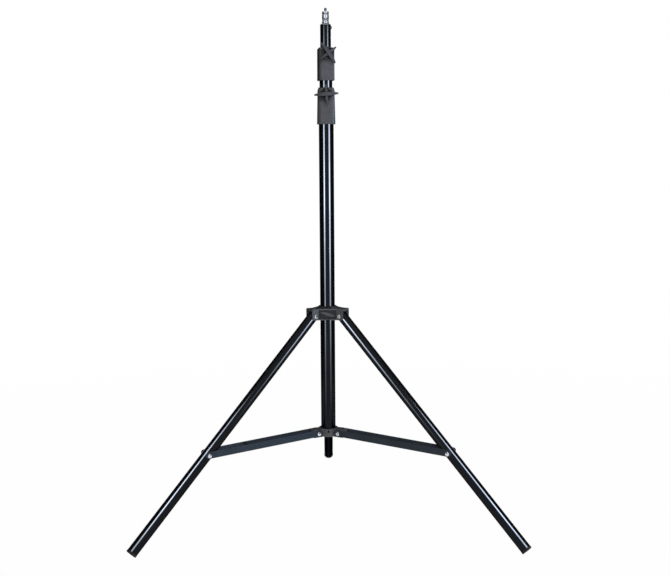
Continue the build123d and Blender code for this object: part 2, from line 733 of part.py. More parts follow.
# ------------------------------------------------------------------ spigot
plug_r = top_tube_od / 2 - tube_wall - seat_gap
pin_r = spigot_d / 2
cone_foot = top_tube_top + spigot_base_h
cone_head = cone_foot + spigot_cone_h
groove_height = top_tube_top + groove_rise
shoulder_groove_height = top_tube_top + shoulder_groove_rise
spigot_top = top_tube_top + spigot_length
stud_top = spigot_top + stud_length
with BuildPart() as spigot:
    with BuildSketch(Plane.XZ):
        with BuildLine():
            Polyline(
                (0, top_tube_top - spigot_plug),
                (plug_r, top_tube_top - spigot_plug),
                (plug_r, top_tube_top),
                (spigot_base_d / 2, top_tube_top),
                (spigot_base_d / 2, cone_foot),
                (pin_r, cone_head),
                (pin_r, groove_height - groove_width / 2 - groove_depth),
                (pin_r - groove_depth, groove_height - groove_width / 2),
                (pin_r - groove_depth, groove_height + groove_width / 2),
                (pin_r, groove_height + groove_width / 2 + groove_depth),
                (pin_r, shoulder_groove_height - groove_width / 2),
                (pin_r - shoulder_groove_depth, shoulder_groove_height - groove_width / 2),
                (pin_r - shoulder_groove_depth, shoulder_groove_height + groove_width / 2),
                (pin_r, shoulder_groove_height + groove_width / 2),
                (pin_r, spigot_top - spigot_edge),
                (pin_r - spigot_edge, spigot_top),
                (stud_d / 2 - stud_neck, spigot_top),
                (stud_d / 2 - stud_neck, spigot_top + stud_neck),
                (stud_d / 2, spigot_top + 2 * stud_neck),
                (stud_d / 2, stud_top - stud_edge),
                (stud_d / 2 - stud_edge, stud_top),
                (0, stud_top),
                close=True,
            )
        make_face()
    revolve(axis=Axis.Z)
    with BuildSketch(radial_plane(side_screw_azimuth, plug_r - side_screw_depth, side_screw_height)):
        Circle(side_screw_d / 2 + seat_gap)
    extrude(amount=side_screw_depth + cut_past, mode=Mode.SUBTRACT)

with BuildPart() as spigot_screw:
    # its head sits on the tube, and its shank holds the spigot's plug
    screw_face = radial_plane(side_screw_azimuth, plug_r - side_screw_depth, side_screw_height)
    head_face = radial_plane(side_screw_azimuth, 0, side_screw_height)
    with BuildSketch(head_face):
        Circle(side_screw_head_d / 2)
    extrude(amount=top_tube_od / 2 + side_screw_head_h)
    head_axis = Axis(head_face.origin, head_face.z_dir)
    fillet(
        spigot_screw.edges().filter_by(GeomType.CIRCLE).sort_by(head_axis)[-1],
        side_screw_head_h * 0.4,
    )
    with BuildSketch(Plane.XY.offset(side_screw_height - side_screw_head_d)):
        Circle(top_tube_od / 2 + seat_gap)
    extrude(amount=2 * side_screw_head_d, mode=Mode.SUBTRACT)
    with BuildSketch(screw_face):
        Circle(side_screw_d / 2)
    extrude(amount=side_screw_depth + tube_wall + seat_gap + side_screw_head_h / 2)

# ------------------------------------------------------------------ the pieces
pieces = {
    "base_tube": base_tube.part,
    "hub": hub.part,
    "hub_screw": hub_screw.part,
    "hub_rivets": Compound(children=hub_rivets),
    "crown": crown.part,
    "crown_bush": crown_bush.part,
    "crown_rivets": Compound(children=crown_rivets),
    "middle_tube": middle_tube,
    "middle_guide": middle_guide,
    "top_tube": top_tube.part,
    "top_guide": top_guide,
    "spigot": spigot.part,
    "spigot_screw": spigot_screw.part,
}
for section, lock in (("lower", lower_lock), ("upper", upper_lock)):
    for piece, solid in lock.items():
        pieces[f"{section}_{piece}"] = solid
for side, azimuth in legs.items():
    leg_tube, leg_plug, foot = make_leg(azimuth)
    pieces[f"leg_{side}"] = leg_tube
    pieces[f"leg_plug_{side}"] = leg_plug
    pieces[f"foot_{side}"] = foot
    pieces[f"brace_{side}"] = make_brace(azimuth)
    # the two rivets of a brace and its leg, one through each flange, stop clear of the leg
    pieces[f"brace_rivets_{side}"] = make_rivet(
        azimuth, rivet_r, rivet_z, flange_outer, arm_inner
    )

os.makedirs("parts", exist_ok=True)
for name, solid in pieces.items():
    solid.label = name
    export_step(solid, f"parts/{name}.step")

print(f"leg pivot {leg_pivot_z:.3f} high, hub pivot {hub_pivot_z:.3f} high")
print(f"brace {brace_length:.3f} long, crown travel {crown_travel:.3f}")
print(f"legs turn {leg_turn:.3f} degrees, braces {brace_turn:.3f} degrees")
print(f"base tube's end {base_tube_top:.3f}, middle {middle_tube_top:.3f}, top {top_tube_top:.3f}")
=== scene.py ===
import json
import logging
import math
from collections.abc import Callable, Sequence
from dataclasses import dataclass
from enum import Enum

import bmesh
import bpy
from mathutils import Matrix, Vector

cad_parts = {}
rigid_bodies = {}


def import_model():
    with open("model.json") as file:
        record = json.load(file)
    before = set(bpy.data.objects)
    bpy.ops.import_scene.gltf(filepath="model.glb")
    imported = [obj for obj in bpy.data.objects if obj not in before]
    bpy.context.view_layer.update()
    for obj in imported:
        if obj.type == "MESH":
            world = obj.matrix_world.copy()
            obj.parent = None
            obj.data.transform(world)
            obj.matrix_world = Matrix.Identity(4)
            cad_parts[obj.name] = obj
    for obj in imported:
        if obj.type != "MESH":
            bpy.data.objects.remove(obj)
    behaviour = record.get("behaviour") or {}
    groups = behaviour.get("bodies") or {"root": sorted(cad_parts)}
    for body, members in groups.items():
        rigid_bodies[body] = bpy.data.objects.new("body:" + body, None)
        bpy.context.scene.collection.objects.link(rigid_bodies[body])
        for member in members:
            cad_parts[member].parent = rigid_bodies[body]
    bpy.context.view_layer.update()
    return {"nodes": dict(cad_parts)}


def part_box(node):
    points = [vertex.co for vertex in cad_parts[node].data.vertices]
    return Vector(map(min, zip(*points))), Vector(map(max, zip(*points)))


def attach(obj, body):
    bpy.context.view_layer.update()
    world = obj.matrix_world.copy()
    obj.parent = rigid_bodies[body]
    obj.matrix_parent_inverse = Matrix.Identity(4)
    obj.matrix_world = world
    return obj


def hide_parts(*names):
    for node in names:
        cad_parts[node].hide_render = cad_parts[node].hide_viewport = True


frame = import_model()

log = logging.getLogger("stand")

Outline = list[tuple[float, float]]
Colour = tuple[float, float, float]
Piece = bpy.types.Object
Tree = bpy.types.NodeTree
Socket = bpy.types.NodeSocket

MM = 0.001
UP = Vector((0, 0, 1))
WHITE: Colour = (1.0, 1.0, 1.0)
CREASE = math.radians(32.0)  # edges that bend by more than this stay sharp
STRAIGHT = math.pi - 0.03  # corners flatter than this are left alone
SIDE_SHARE = 0.45  # most of a side that the curve at one end takes
ON_AXIS = 1e-7  # rings smaller than this are one point
LARGE, SMALL = 96, 48  # faces round a large and a small turned piece


# ---------------------------------------------------------------- mesh making
def rounded(points: Outline, radius: float, steps: int = 4) -> Outline:
    """Rounds the inner corners of an open outline.

    Args:
        points: corners of the outline.
        radius: radius wanted at each corner; short sides get a smaller one.
        steps: how many pieces each corner's curve has.

    Returns:
        The outline with curved corners.
    """
    out = [tuple(points[0])]
    for before, corner, after in zip(points, points[1:], points[2:]):
        middle = Vector(corner)
        back, ahead = Vector(before) - middle, Vector(after) - middle
        turn = back.angle(ahead)
        if turn > STRAIGHT:
            out.append(tuple(corner))
            continue
        reach = min(
            radius / math.tan(turn / 2), SIDE_SHARE * back.length, SIDE_SHARE * ahead.length
        )
        start, end = middle + back.normalized() * reach, middle + ahead.normalized() * reach
        for step in range(steps + 1):
            t = step / steps
            out.append(tuple(start * (1 - t) ** 2 + middle * (2 * t * (1 - t)) + end * t * t))
    out.append(tuple(points[-1]))
    return out


def smooth(mesh: bpy.types.Mesh) -> None:
    """Shades a mesh smooth but for its creases."""
    mesh.shade_smooth()
    mesh.set_sharp_from_angle(angle=CREASE)


def object_from(builder: bmesh.types.BMesh, name: str) -> Piece:
    """Turns a finished bmesh into an object.

    Args:
        builder: the bmesh, which is freed.
        name: name of the piece.

    Returns:
        The new object, linked to the scene.
    """
    bmesh.ops.recalc_face_normals(builder, faces=builder.faces)
    mesh = bpy.data.meshes.new(name)
    builder.to_mesh(mesh)
    builder.free()
    smooth(mesh)
    piece = bpy.data.objects.new(name, mesh)
    bpy.context.scene.collection.objects.link(piece)
    return piece


def lathe(
    name: str, outline: Outline, segments: int = LARGE, closed: bool = False,
    ridge: Callable[[float, float], float] | None = None,
) -> Piece:
    """Turns an outline of (radius, height) points about its own Z.

    Args:
        name: name of the piece.
        outline: points from one end to the other.
        segments: faces round the axis.
        closed: joins the last point to the first, for a hollow ring.
        ridge: added radius at an angle and height, such as a thread's.

    Returns:
        The turned object.
    """
    builder = bmesh.new()
    rings = []
    for radius, height in outline:
        if radius < ON_AXIS:
            rings.append([builder.verts.new((0, 0, height))])
            continue
        ring = []
        for k in range(segments):
            angle = 2 * math.pi * k / segments
            r = radius + (ridge(angle, height) if ridge else 0)
            ring.append(builder.verts.new((r * math.cos(angle), r * math.sin(angle), height)))
        rings.append(ring)
    if closed:
        rings.append(rings[0])
    for low, high in zip(rings, rings[1:]):
        for k in range(segments):
            corners = []
            for ring, n in ((low, k), (low, k + 1), (high, k + 1), (high, k)):
                if ring[n % len(ring)] not in corners:
                    corners.append(ring[n % len(ring)])
            if len(corners) > 2:
                builder.faces.new(corners)
    return object_from(builder, name)


def prism(
    name: str, outline: Outline, low: float, high: float, taper: float = 1.0, soft: float = 0.0
) -> Piece:
    """Block on a flat outline, straight or tapered.

    Args:
        name: name of the piece.
        outline: corners in X and Y, in order.
        low: height of the first face.
        high: height of the second face.
        taper: size of the second face over the first's.
        soft: radius of the rounded edges round the second face, where it has them.

    Returns:
        The block.
    """
    builder = bmesh.new()
    first = [builder.verts.new((x, y, low)) for x, y in outline]
    second = [builder.verts.new((x * taper, y * taper, high)) for x, y in outline]
    builder.faces.new(first[::-1])
    face = builder.faces.new(second)
    for k in range(len(outline)):
        n = (k + 1) % len(outline)
        builder.faces.new((first[k], first[n], second[n], second[k]))
    if soft:
        bmesh.ops.bevel(
            builder, geom=list(face.edges), offset=soft, segments=3, profile=0.5, affect="EDGES"
        )
    return object_from(builder, name)


def merge(name: str, pieces: Sequence[Piece]) -> Piece:
    """Joins placed pieces into one, in the stand's own frame, and removes them.

    Args:
        name: name of the joined piece.
        pieces: the pieces.

    Returns:
        The joined piece.
    """
    bpy.context.view_layer.update()
    builder = bmesh.new()
    for piece in pieces:
        piece.data.transform(piece.matrix_world)
        builder.from_mesh(piece.data)
        bpy.data.objects.remove(piece)
    return object_from(builder, name)


def place(piece: Piece, origin: Vector, along: Vector, across: Vector) -> Piece:
    """Stands a piece at origin with its Z along one direction and its X near another.

    Args:
        piece: the piece, drawn about its own origin.
        origin: where its origin goes.
        along: direction of its Z.
        across: direction that its X leans to.

    Returns:
        The same piece.
    """
    z = along.normalized()
    y = z.cross(across).normalized()
    turn = Matrix((y.cross(z), y, z)).transposed().to_4x4()
    piece.matrix_world = Matrix.Translation(origin) @ turn
    return piece


def cut(piece: Piece, tool: Piece) -> Piece:
    """Cuts one piece with another, which is then removed.

    Args:
        piece: the piece that is cut.
        tool: the solid that is taken away.

    Returns:
        The piece, with its new mesh.
    """
    bpy.context.view_layer.update()
    change = piece.modifiers.new("cut", "BOOLEAN")
    change.operation = "DIFFERENCE"
    change.solver = "EXACT"
    change.object = tool
    bpy.context.view_layer.update()
    graph = bpy.context.evaluated_depsgraph_get()
    mesh = bpy.data.meshes.new_from_object(piece.evaluated_get(graph))
    piece.modifiers.clear()
    mesh.name = piece.name
    piece.data = mesh
    smooth(mesh)
    bpy.data.objects.remove(tool)
    return piece


def outward(azimuth: float) -> Vector:
    """Level direction away from the column at an azimuth in degrees."""
    return Vector((math.cos(math.radians(azimuth)), math.sin(math.radians(azimuth)), 0))


# ---------------------------------------------------------------- node wiring
class Wiring:
    """Short calls that add nodes to one node tree and join them."""

    def __init__(self, tree: Tree) -> None:
        """Starts on a tree."""
        self.tree = tree

    @classmethod
    def on(cls, owner: bpy.types.Material | bpy.types.World) -> "Wiring":
        """Starts on a material or a world, whose own nodes are removed.

        Args:
            owner: the material or world.

        Returns:
            The wiring of its empty tree.
        """
        owner.use_nodes = True
        owner.node_tree.nodes.clear()
        return cls(owner.node_tree)

    def feed(self, socket: Socket, value: object) -> None:
        """Links an input to another socket, or sets its plain value.

        Args:
            socket: the input.
            value: the other node's output, or the plain value.
        """
        if isinstance(value, Socket):
            self.tree.links.new(value, socket)
        else:
            socket.default_value = value

    def node(
        self, kind: str, inputs: dict[str | int, object] | None = None, **settings: object
    ) -> bpy.types.Node:
        """Adds a node.

        Args:
            kind: the node's type name.
            inputs: sockets or values for its inputs.
            settings: plain properties of the node.

        Returns:
            The new node.
        """
        node = self.tree.nodes.new(kind)
        for name, value in settings.items():
            setattr(node, name, value)
        for key, value in (inputs or {}).items():
            self.feed(node.inputs[key], value)
        return node

    def maths(
        self, operation: str, a: object, b: object = 0.0, c: object = 0.0, clamp: bool = False
    ) -> Socket:
        """Adds a Math node.

        Args:
            operation: what it works out.
            a: first value.
            b: second value, for the operations that have one.
            c: third value, for the operations that have one.
            clamp: whether the result is kept between 0 and 1.

        Returns:
            The node's result.
        """
        return self.node(
            "ShaderNodeMath", {0: a, 1: b, 2: c}, operation=operation, use_clamp=clamp
        ).outputs[0]

    def vector(self, operation: str, a: object, b: object, output: str = "Vector") -> Socket:
        """Adds a Vector Math node and gives one of its results."""
        return self.node("ShaderNodeVectorMath", {0: a, 1: b}, operation=operation).outputs[output]

    def mix(self, factor: object, a: object, b: Colour) -> Socket:
        """Mixes a plain colour into another colour.

        Args:
            factor: share of the plain colour, from 0 to 1.
            a: the other colour.
            b: the plain colour.

        Returns:
            The mixed colour.
        """
        return self.node(
            "ShaderNodeMix", {0: factor, 6: a, 7: (*b, 1)}, data_type="RGBA"
        ).outputs[2]

    def spread(
        self, value: object, none_at: float, full_at: float, none: float = 0.0, full: float = 1.0
    ) -> Socket:
        """Maps a value from one range to another, smoothly and clamped.

        Args:
            value: the value.
            none_at: where it gives `none`.
            full_at: where it gives `full`.
            none: result at one end of the range.
            full: result at the other end.

        Returns:
            The mapped value.
        """
        return self.node(
            "ShaderNodeMapRange", {0: value, 1: none_at, 2: full_at, 3: none, 4: full},
            interpolation_type="SMOOTHSTEP",
        ).outputs[0]

    def noise(self, vector: object, scale: object, detail: float) -> Socket:
        """Adds a noise texture.

        Args:
            vector: place that it is read at.
            scale: how many grains there are to a unit.
            detail: how many finer layers it has.

        Returns:
            The noise, from 0 to 1.
        """
        return self.node(
            "ShaderNodeTexNoise", {"Vector": vector, "Scale": scale, "Detail": detail}
        ).outputs["Fac"]

    def bump(self, height: Socket, distance: float, normal: Socket) -> Socket:
        """Raises a surface by a height.

        Args:
            height: the height.
            distance: how far a height of 1 stands up.
            normal: normal of the surface without it.

        Returns:
            The new normal.
        """
        return self.node(
            "ShaderNodeBump", {"Height": height, "Distance": distance, "Normal": normal}
        ).outputs[0]


class EffectGroup(Wiring):
    """Shader node group with named inputs and outputs."""

    def __init__(self, name: str, inputs: dict[str, float | None], outputs: Sequence[str]) -> None:
        """Starts the group.

        Args:
            name: name of the group.
            inputs: each input's plain value, or None for a vector.
            outputs: names of the outputs, of which Normal is a vector.
        """
        super().__init__(bpy.data.node_groups.new(name, "ShaderNodeTree"))
        for label, value in inputs.items():
            socket = self.add_socket(label, "INPUT", value is None)
            if value is not None:
                socket.default_value = value
        for label in outputs:
            self.add_socket(label, "OUTPUT", label == "Normal")
        self.take = self.node("NodeGroupInput").outputs
        self.give = self.node("NodeGroupOutput").inputs

    def add_socket(
        self, label: str, side: str, is_vector: bool
    ) -> bpy.types.NodeTreeInterfaceSocket:
        """Adds one named socket of the group."""
        kind = "NodeSocketVector" if is_vector else "NodeSocketFloat"
        return self.tree.interface.new_socket(label, in_out=side, socket_type=kind)

    def scale(self, size: str = "Size") -> Socket:
        """Scale of a texture whose grains have the size in an input."""
        return self.maths("DIVIDE", 1.0, self.take[size])

    def scaled(self, mask: Socket) -> Socket:
        """A mask times the group's Amount."""
        return self.maths("MULTIPLY", mask, self.take["Amount"], clamp=True)


class Effects:
    """The surface effects that the finishes share, each one node group."""

    def __init__(self) -> None:
        """Makes every group once."""
        self.soft_edge = self.make_soft_edge()
        self.grain = self.make_grain()
        self.clouds = self.make_clouds()
        self.drawn = self.make_drawn()
        self.turned = self.make_turned()
        self.wear_and_highlight = self.make_wear_and_highlight()
        self.dust = self.make_dust()
        self.painted_shade = self.make_painted_shade()

    @staticmethod
    def make_soft_edge() -> Tree:
        """Rounded shading at hard edges, and a mask of where they are.

        Returns:
            The group.
        """
        w = EffectGroup("soft_edge", {"Radius": 0.0005}, ("Normal", "Edge"))
        bent = w.node("ShaderNodeBevel", {"Radius": w.take["Radius"]}, samples=6).outputs[0]
        flat = w.node("ShaderNodeNewGeometry").outputs["Normal"]
        agree = w.vector("DOT_PRODUCT", bent, flat, "Value")
        w.feed(w.give["Normal"], bent)
        w.feed(w.give["Edge"], w.spread(agree, none_at=0.995, full_at=0.82))
        return w.tree

    @staticmethod
    def make_grain() -> Tree:
        """Fine skin of a cast, moulded or painted surface.

        Returns:
            The group.
        """
        w = EffectGroup("grain", {"Vector": None, "Size": 0.001}, ("Height",))
        scale = w.scale()
        fine = w.noise(w.take["Vector"], scale, detail=3.0)
        cells = w.node(
            "ShaderNodeTexVoronoi", {"Vector": w.take["Vector"], "Scale": scale},
            feature="SMOOTH_F1",
        ).outputs["Distance"]
        cell_share = 0.5
        w.feed(w.give["Height"], w.maths("ADD", fine, w.maths("MULTIPLY", cells, cell_share)))
        return w.tree

    @staticmethod
    def make_clouds() -> Tree:
        """Slow unevenness over a surface, from 0 to 1.

        Returns:
            The group.
        """
        w = EffectGroup("clouds", {"Vector": None, "Size": 0.03}, ("Mask",))
        value = w.noise(w.take["Vector"], w.scale(), detail=4.0)
        w.feed(w.give["Mask"], w.spread(value, none_at=0.34, full_at=0.66))
        return w.tree

    @staticmethod
    def make_drawn() -> Tree:
        """Long fine lines along a piece's own Z, as drawing and sliding leave them.

        Returns:
            The group.
        """
        w = EffectGroup("drawn", {"Vector": None, "Size": 0.0006}, ("Height", "Scuffs"))
        stretch, patch_scale = (1.0, 1.0, 0.012), 9.0
        fine = w.noise(w.vector("MULTIPLY", w.take["Vector"], stretch), w.scale(), detail=2.0)
        patch = w.noise(w.take["Vector"], patch_scale, detail=3.0)
        lines = w.spread(fine, none_at=0.63, full_at=0.74)
        where = w.spread(patch, none_at=0.45, full_at=0.7)
        w.feed(w.give["Height"], fine)
        w.feed(w.give["Scuffs"], w.maths("MULTIPLY", lines, where))
        return w.tree

    @staticmethod
    def make_turned() -> Tree:
        """Fine rings round a piece's own Z, as a lathe leaves them.

        Returns:
            The group.
        """
        w = EffectGroup("turned", {"Vector": None, "Pitch": 0.0003}, ("Height",))
        stretch = (0.02, 0.02, 1.0)
        rings = w.vector("MULTIPLY", w.take["Vector"], stretch)
        w.feed(w.give["Height"], w.noise(rings, w.scale("Pitch"), detail=2.0))
        return w.tree

    @staticmethod
    def make_wear_and_highlight() -> Tree:
        """Patchy lighter colour along the edges that a soft_edge group marks: rubbed paint, and on
        the brace also a painted highlight along its bent edges.

        Returns:
            The group.
        """
        w = EffectGroup(
            "wear_and_highlight", {"Edge": 0.0, "Vector": None, "Size": 0.004, "Amount": 0.5}, ("Mask",)
        )
        patch = w.noise(w.take["Vector"], w.scale(), detail=5.0)
        patch = w.spread(patch, none_at=0.3, full_at=0.62)
        w.feed(w.give["Mask"], w.scaled(w.maths("MULTIPLY", w.take["Edge"], patch)))
        return w.tree

    @staticmethod
    def make_dust() -> Tree:
        """Thin dust on faces that look up, in the piece's own frame.

        Returns:
            The group.
        """
        w = EffectGroup("dust", {"Normal": None, "Vector": None, "Amount": 0.1}, ("Mask",))
        patch_scale = 140.0
        up = w.node("ShaderNodeSeparateXYZ", {0: w.take["Normal"]}).outputs[2]
        lies = w.spread(up, none_at=0.25, full_at=0.95)
        patch = w.noise(w.take["Vector"], patch_scale, detail=5.0)
        patch = w.spread(patch, none_at=0.35, full_at=0.7, none=0.25)
        w.feed(w.give["Mask"], w.scaled(w.maths("MULTIPLY", lies, patch)))
        return w.tree

    @staticmethod
    def make_painted_shade() -> Tree:
        """Painted shade: darkening of a piece's own recesses and inner corners, by how enclosed
        they are.

        Returns:
            The group.
        """
        w = EffectGroup("painted_shade", {"Reach": 0.008, "Amount": 0.5}, ("Mask",))
        open_share = w.node(
            "ShaderNodeAmbientOcclusion", {"Distance": w.take["Reach"]},
            samples=8, only_local=True,
        ).outputs["AO"]
        w.feed(w.give["Mask"], w.scaled(w.spread(open_share, none_at=0.97, full_at=0.5)))
        return w.tree


# ---------------------------------------------------------------- finishes
class Tooling(Enum):
    """Direction of the marks that making or use leaves in a surface."""

    NONE = "none"
    DRAWN = "drawn"
    TURNED = "turned"


@dataclass(frozen=True)
class Finish:
    """One surface finish. Lengths are in metres."""

    name: str
    slot: str
    colour: Colour
    shade: Colour
    roughness: float
    roughness_spread: float = 0.08
    metallic: float = 0.0
    specular: float = 0.5
    grazing: Colour = WHITE
    cloud_size: float = 0.03
    grain_size: float = 0.0008
    grain_depth: float = 0.00004
    edge_radius: float = 0.0006
    edge_colour: Colour = (0.2, 0.2, 0.2)
    edge_wear_and_highlight: float = 0.4
    dust: float = 0.08
    dust_colour: Colour = (0.32, 0.31, 0.29)
    dust_roughness: float = 0.5
    # painted shade in the piece's own recesses: how strong it is, how far it reaches, and its dark
    # colour
    painted_shade: float = 0.0
    painted_shade_reach: float = 0.009
    painted_shade_colour: Colour = (0.006, 0.0065, 0.007)
    tooling: Tooling = Tooling.NONE
    tooling_size: float = 0.0006
    tooling_depth: float = 0.00001
    scuff_roughness: float = 0.18
    scuff_colour: float = 0.25

    @property
    def material_name(self) -> str:
        """Name of this finish's material."""
        return "finish_" + self.name

    def material(self, effects: Effects) -> bpy.types.Material:
        """Gives the material, and makes it the first time.

        Args:
            effects: the shared node groups.

        Returns:
            The material of this finish.
        """
        made = bpy.data.materials.get(self.material_name)
        if made:
            return made
        made = bpy.data.materials.new(self.material_name)
        w = Wiring.on(made)
        coordinates = w.node("ShaderNodeTexCoord").outputs
        where = coordinates["Object"]

        def group(tree: Tree, **inputs: object) -> bpy.types.bpy_prop_collection:
            """Places a shared group and gives its outputs."""
            return w.node("ShaderNodeGroup", inputs, node_tree=tree).outputs

        edge = group(effects.soft_edge, Radius=self.edge_radius)
        grain = group(effects.grain, Vector=where, Size=self.grain_size)
        clouds = group(effects.clouds, Vector=where, Size=self.cloud_size)["Mask"]
        wear_and_highlight = group(effects.wear_and_highlight, Edge=edge["Edge"], Vector=where, Amount=self.edge_wear_and_highlight)["Mask"]
        dust = group(
            effects.dust, Normal=coordinates["Normal"], Vector=where, Amount=self.dust
        )["Mask"]

        colour = w.mix(clouds, (*self.colour, 1), self.shade)
        # lighter edges: rubbed paint, and on the brace also a painted highlight
        colour = w.mix(wear_and_highlight, colour, self.edge_colour)
        colour = w.mix(dust, colour, self.dust_colour)
        # painted shade: the piece's own recesses and inner corners are darkened towards a
        # near-black colour
        if self.painted_shade:
            deep = group(effects.painted_shade, Reach=self.painted_shade_reach, Amount=self.painted_shade)["Mask"]
            colour = w.mix(deep, colour, self.painted_shade_colour)
        swing = self.roughness_spread / 2
        rough = w.spread(clouds, 0.0, 1.0, self.roughness - swing, self.roughness + swing)
        dulled = w.maths("MULTIPLY", dust, self.dust_roughness)
        rough = w.maths("ADD", rough, dulled, clamp=True)
        normal = w.bump(grain["Height"], self.grain_depth, edge["Normal"])
        if self.tooling is Tooling.DRAWN:
            lines = group(effects.drawn, Vector=where, Size=self.tooling_size)
            scuffed = w.maths("MULTIPLY", lines["Scuffs"], self.scuff_roughness)
            rough = w.maths("ADD", rough, scuffed, clamp=True)
            share = w.maths("MULTIPLY", lines["Scuffs"], self.scuff_colour)
            colour = w.mix(share, colour, self.edge_colour)
        if self.tooling is Tooling.TURNED:
            lines = group(effects.turned, Vector=where, Pitch=self.tooling_size)
        if self.tooling is not Tooling.NONE:
            normal = w.bump(lines["Height"], self.tooling_depth, normal)
        surface = w.node(
            "ShaderNodeBsdfPrincipled",
            {"Base Color": colour, "Roughness": rough, "Metallic": self.metallic,
             "Specular IOR Level": self.specular, "Specular Tint": (*self.grazing, 1),
             "Normal": normal},
        )
        w.node("ShaderNodeOutputMaterial", {"Surface": surface.outputs[0]})
        return made


GLOSS_BLACK = Finish(
    "gloss_black_tube", "tube", (0.0125, 0.0135, 0.0155), (0.0105, 0.0115, 0.0135), 0.1,
    roughness_spread=0.03, metallic=1.0, grazing=(0.4, 0.4, 0.4), cloud_size=0.06,
    grain_size=0.003, grain_depth=0.000002, edge_radius=0.0004, edge_colour=(0.2, 0.205, 0.21),
    edge_wear_and_highlight=0.5, dust=0.012, tooling=Tooling.DRAWN, tooling_size=0.0009, tooling_depth=0.0000004,
)
CAST_GREY = Finish(
    "cast_charcoal", "casting", (0.1, 0.1, 0.102), (0.088, 0.088, 0.09), 0.27,
    cloud_size=0.012, grain_size=0.0007, grain_depth=0.00002, edge_colour=(0.16, 0.162, 0.168),
    edge_wear_and_highlight=0.35, dust=0.01, painted_shade=0.85,
)
# painted shade: a darker, duller copy of the casting for the floors of the crown's recessed panels
RECESS_PAINTED_SHADE = Finish(
    "recess_painted_shade", "casting", (0.046, 0.047, 0.05), (0.036, 0.037, 0.04), 0.55,
    specular=0.0, cloud_size=0.01, grain_size=0.0007, grain_depth=0.00003, edge_radius=0.0004,
    edge_colour=(0.1, 0.1, 0.105), edge_wear_and_highlight=0.2, dust=0.03, painted_shade=0.8, painted_shade_reach=0.006,
)
MOULDED_KNOB = Finish(
    "moulded_knob", "knob", (0.086, 0.089, 0.093), (0.072, 0.075, 0.079), 0.34,
    specular=0.12, cloud_size=0.01, grain_size=0.0005, grain_depth=0.000015,
    edge_colour=(0.17, 0.173, 0.178), edge_wear_and_highlight=0.6, dust=0.0, painted_shade=1.0, painted_shade_reach=0.016,
)
# its pale brownish edges are partly worn paint and partly a painted highlight along the bent edges
PAINTED_BRACE = Finish(
    "painted_brace", "brace", (0.049, 0.061, 0.073), (0.042, 0.053, 0.064), 0.36,
    metallic=0.1, specular=0.0, grazing=(0.15, 0.15, 0.15), grain_size=0.0012,
    grain_depth=0.000008, edge_radius=0.0005, edge_colour=(0.2, 0.18, 0.155), edge_wear_and_highlight=0.6,
    dust=0.0, painted_shade=0.5,
)
ZINC = Finish(
    "zinc_rivet", "zinc", (0.72, 0.74, 0.78), (0.6, 0.62, 0.66), 0.2,
    metallic=1.0, grazing=(0.4, 0.4, 0.42), cloud_size=0.004, grain_size=0.0006,
    grain_depth=0.000006, edge_radius=0.0003, edge_colour=(0.4, 0.4, 0.4), dust=0.03,
    painted_shade=0.6, painted_shade_reach=0.002, tooling=Tooling.TURNED, tooling_size=0.0003,
    tooling_depth=0.000002,
)
OXIDE_SCREW = Finish(
    "oxide_screw", "zinc", (0.014, 0.0145, 0.016), (0.01, 0.0105, 0.012), 0.3,
    metallic=1.0, grazing=(0.06, 0.06, 0.06), cloud_size=0.003, grain_size=0.0004,
    grain_depth=0.000008, edge_radius=0.0003, edge_colour=(0.2, 0.2, 0.21), edge_wear_and_highlight=0.5,
    dust=0.02,
)
CHROME = Finish(
    "chrome_spigot", "spigot", (0.48, 0.51, 0.56), (0.42, 0.45, 0.5), 0.06,
    roughness_spread=0.03, metallic=1.0, grazing=(0.16, 0.17, 0.2), cloud_size=0.006,
    grain_depth=0.000002, edge_radius=0.00025, edge_colour=(0.6, 0.62, 0.66), edge_wear_and_highlight=0.3,
    dust=0.01, painted_shade=0.9, painted_shade_reach=0.003, tooling=Tooling.TURNED, tooling_size=0.00035,
    tooling_depth=0.000002,
)
RUBBER = Finish(
    "foot_rubber", "rubber", (0.024, 0.024, 0.025), (0.032, 0.032, 0.032), 0.74,
    specular=0.2, cloud_size=0.006, grain_size=0.0006, grain_depth=0.00003,
    edge_radius=0.0004, edge_colour=(0.1, 0.1, 0.1), edge_wear_and_highlight=0.5, dust=0.06,
)
NYLON = Finish(
    "nylon_black", "nylon", (0.02, 0.021, 0.023), (0.027, 0.028, 0.03), 0.46,
    specular=0.25, cloud_size=0.01, grain_size=0.0005, grain_depth=0.00001,
    edge_radius=0.0003, edge_colour=(0.06, 0.06, 0.065), edge_wear_and_highlight=0.3, dust=0.03,
)
BRASS = Finish(
    "brass_insert", "brass", (0.62, 0.44, 0.17), (0.5, 0.35, 0.13), 0.3,
    metallic=1.0, cloud_size=0.003, grain_size=0.0004, grain_depth=0.000008,
    edge_radius=0.0002, edge_colour=(0.75, 0.6, 0.3), edge_wear_and_highlight=0.3, dust=0.02,
    tooling=Tooling.TURNED, tooling_size=0.0003, tooling_depth=0.000006,
)


# ---------------------------------------------------------------- shared making
# profiles as shares of the head's radius and height, but the dimple's of the shank's radius
RIVET_DOME = (
    (0.97, 0.0), (1.0, 0.1), (1.0, 0.28), (0.93, 0.52), (0.76, 0.78), (0.5, 0.94), (0.25, 1.0),
    (0.0, 1.0),
)
RIVET_DIMPLE = ((0.0, 0.35), (0.3, 0.4), (0.62, 0.92), (0.85, 1.0), (1.25, 0.86))
RIVET_ROLL = ((0.93, 0.4), (0.95, 0.1), (0.9, 0.0))
PAN_HEAD = ((1.0, 0.0), (1.0, 0.35), (0.88, 0.72), (0.6, 0.95), (0.0, 1.0))
# cross recess, as shares of the head's radius and height; it narrows to its floor
RECESS_ARM, RECESS_HALF, RECESS_NARROWS = 0.52, 0.13, 0.45
RECESS_TOP, RECESS_FLOOR = 1.2, 0.3


@dataclass(frozen=True)
class ScrewSize:
    """Radius and height of a pan-headed screw's head, radius and length of its shank."""

    head: float
    height: float
    shank: float
    depth: float


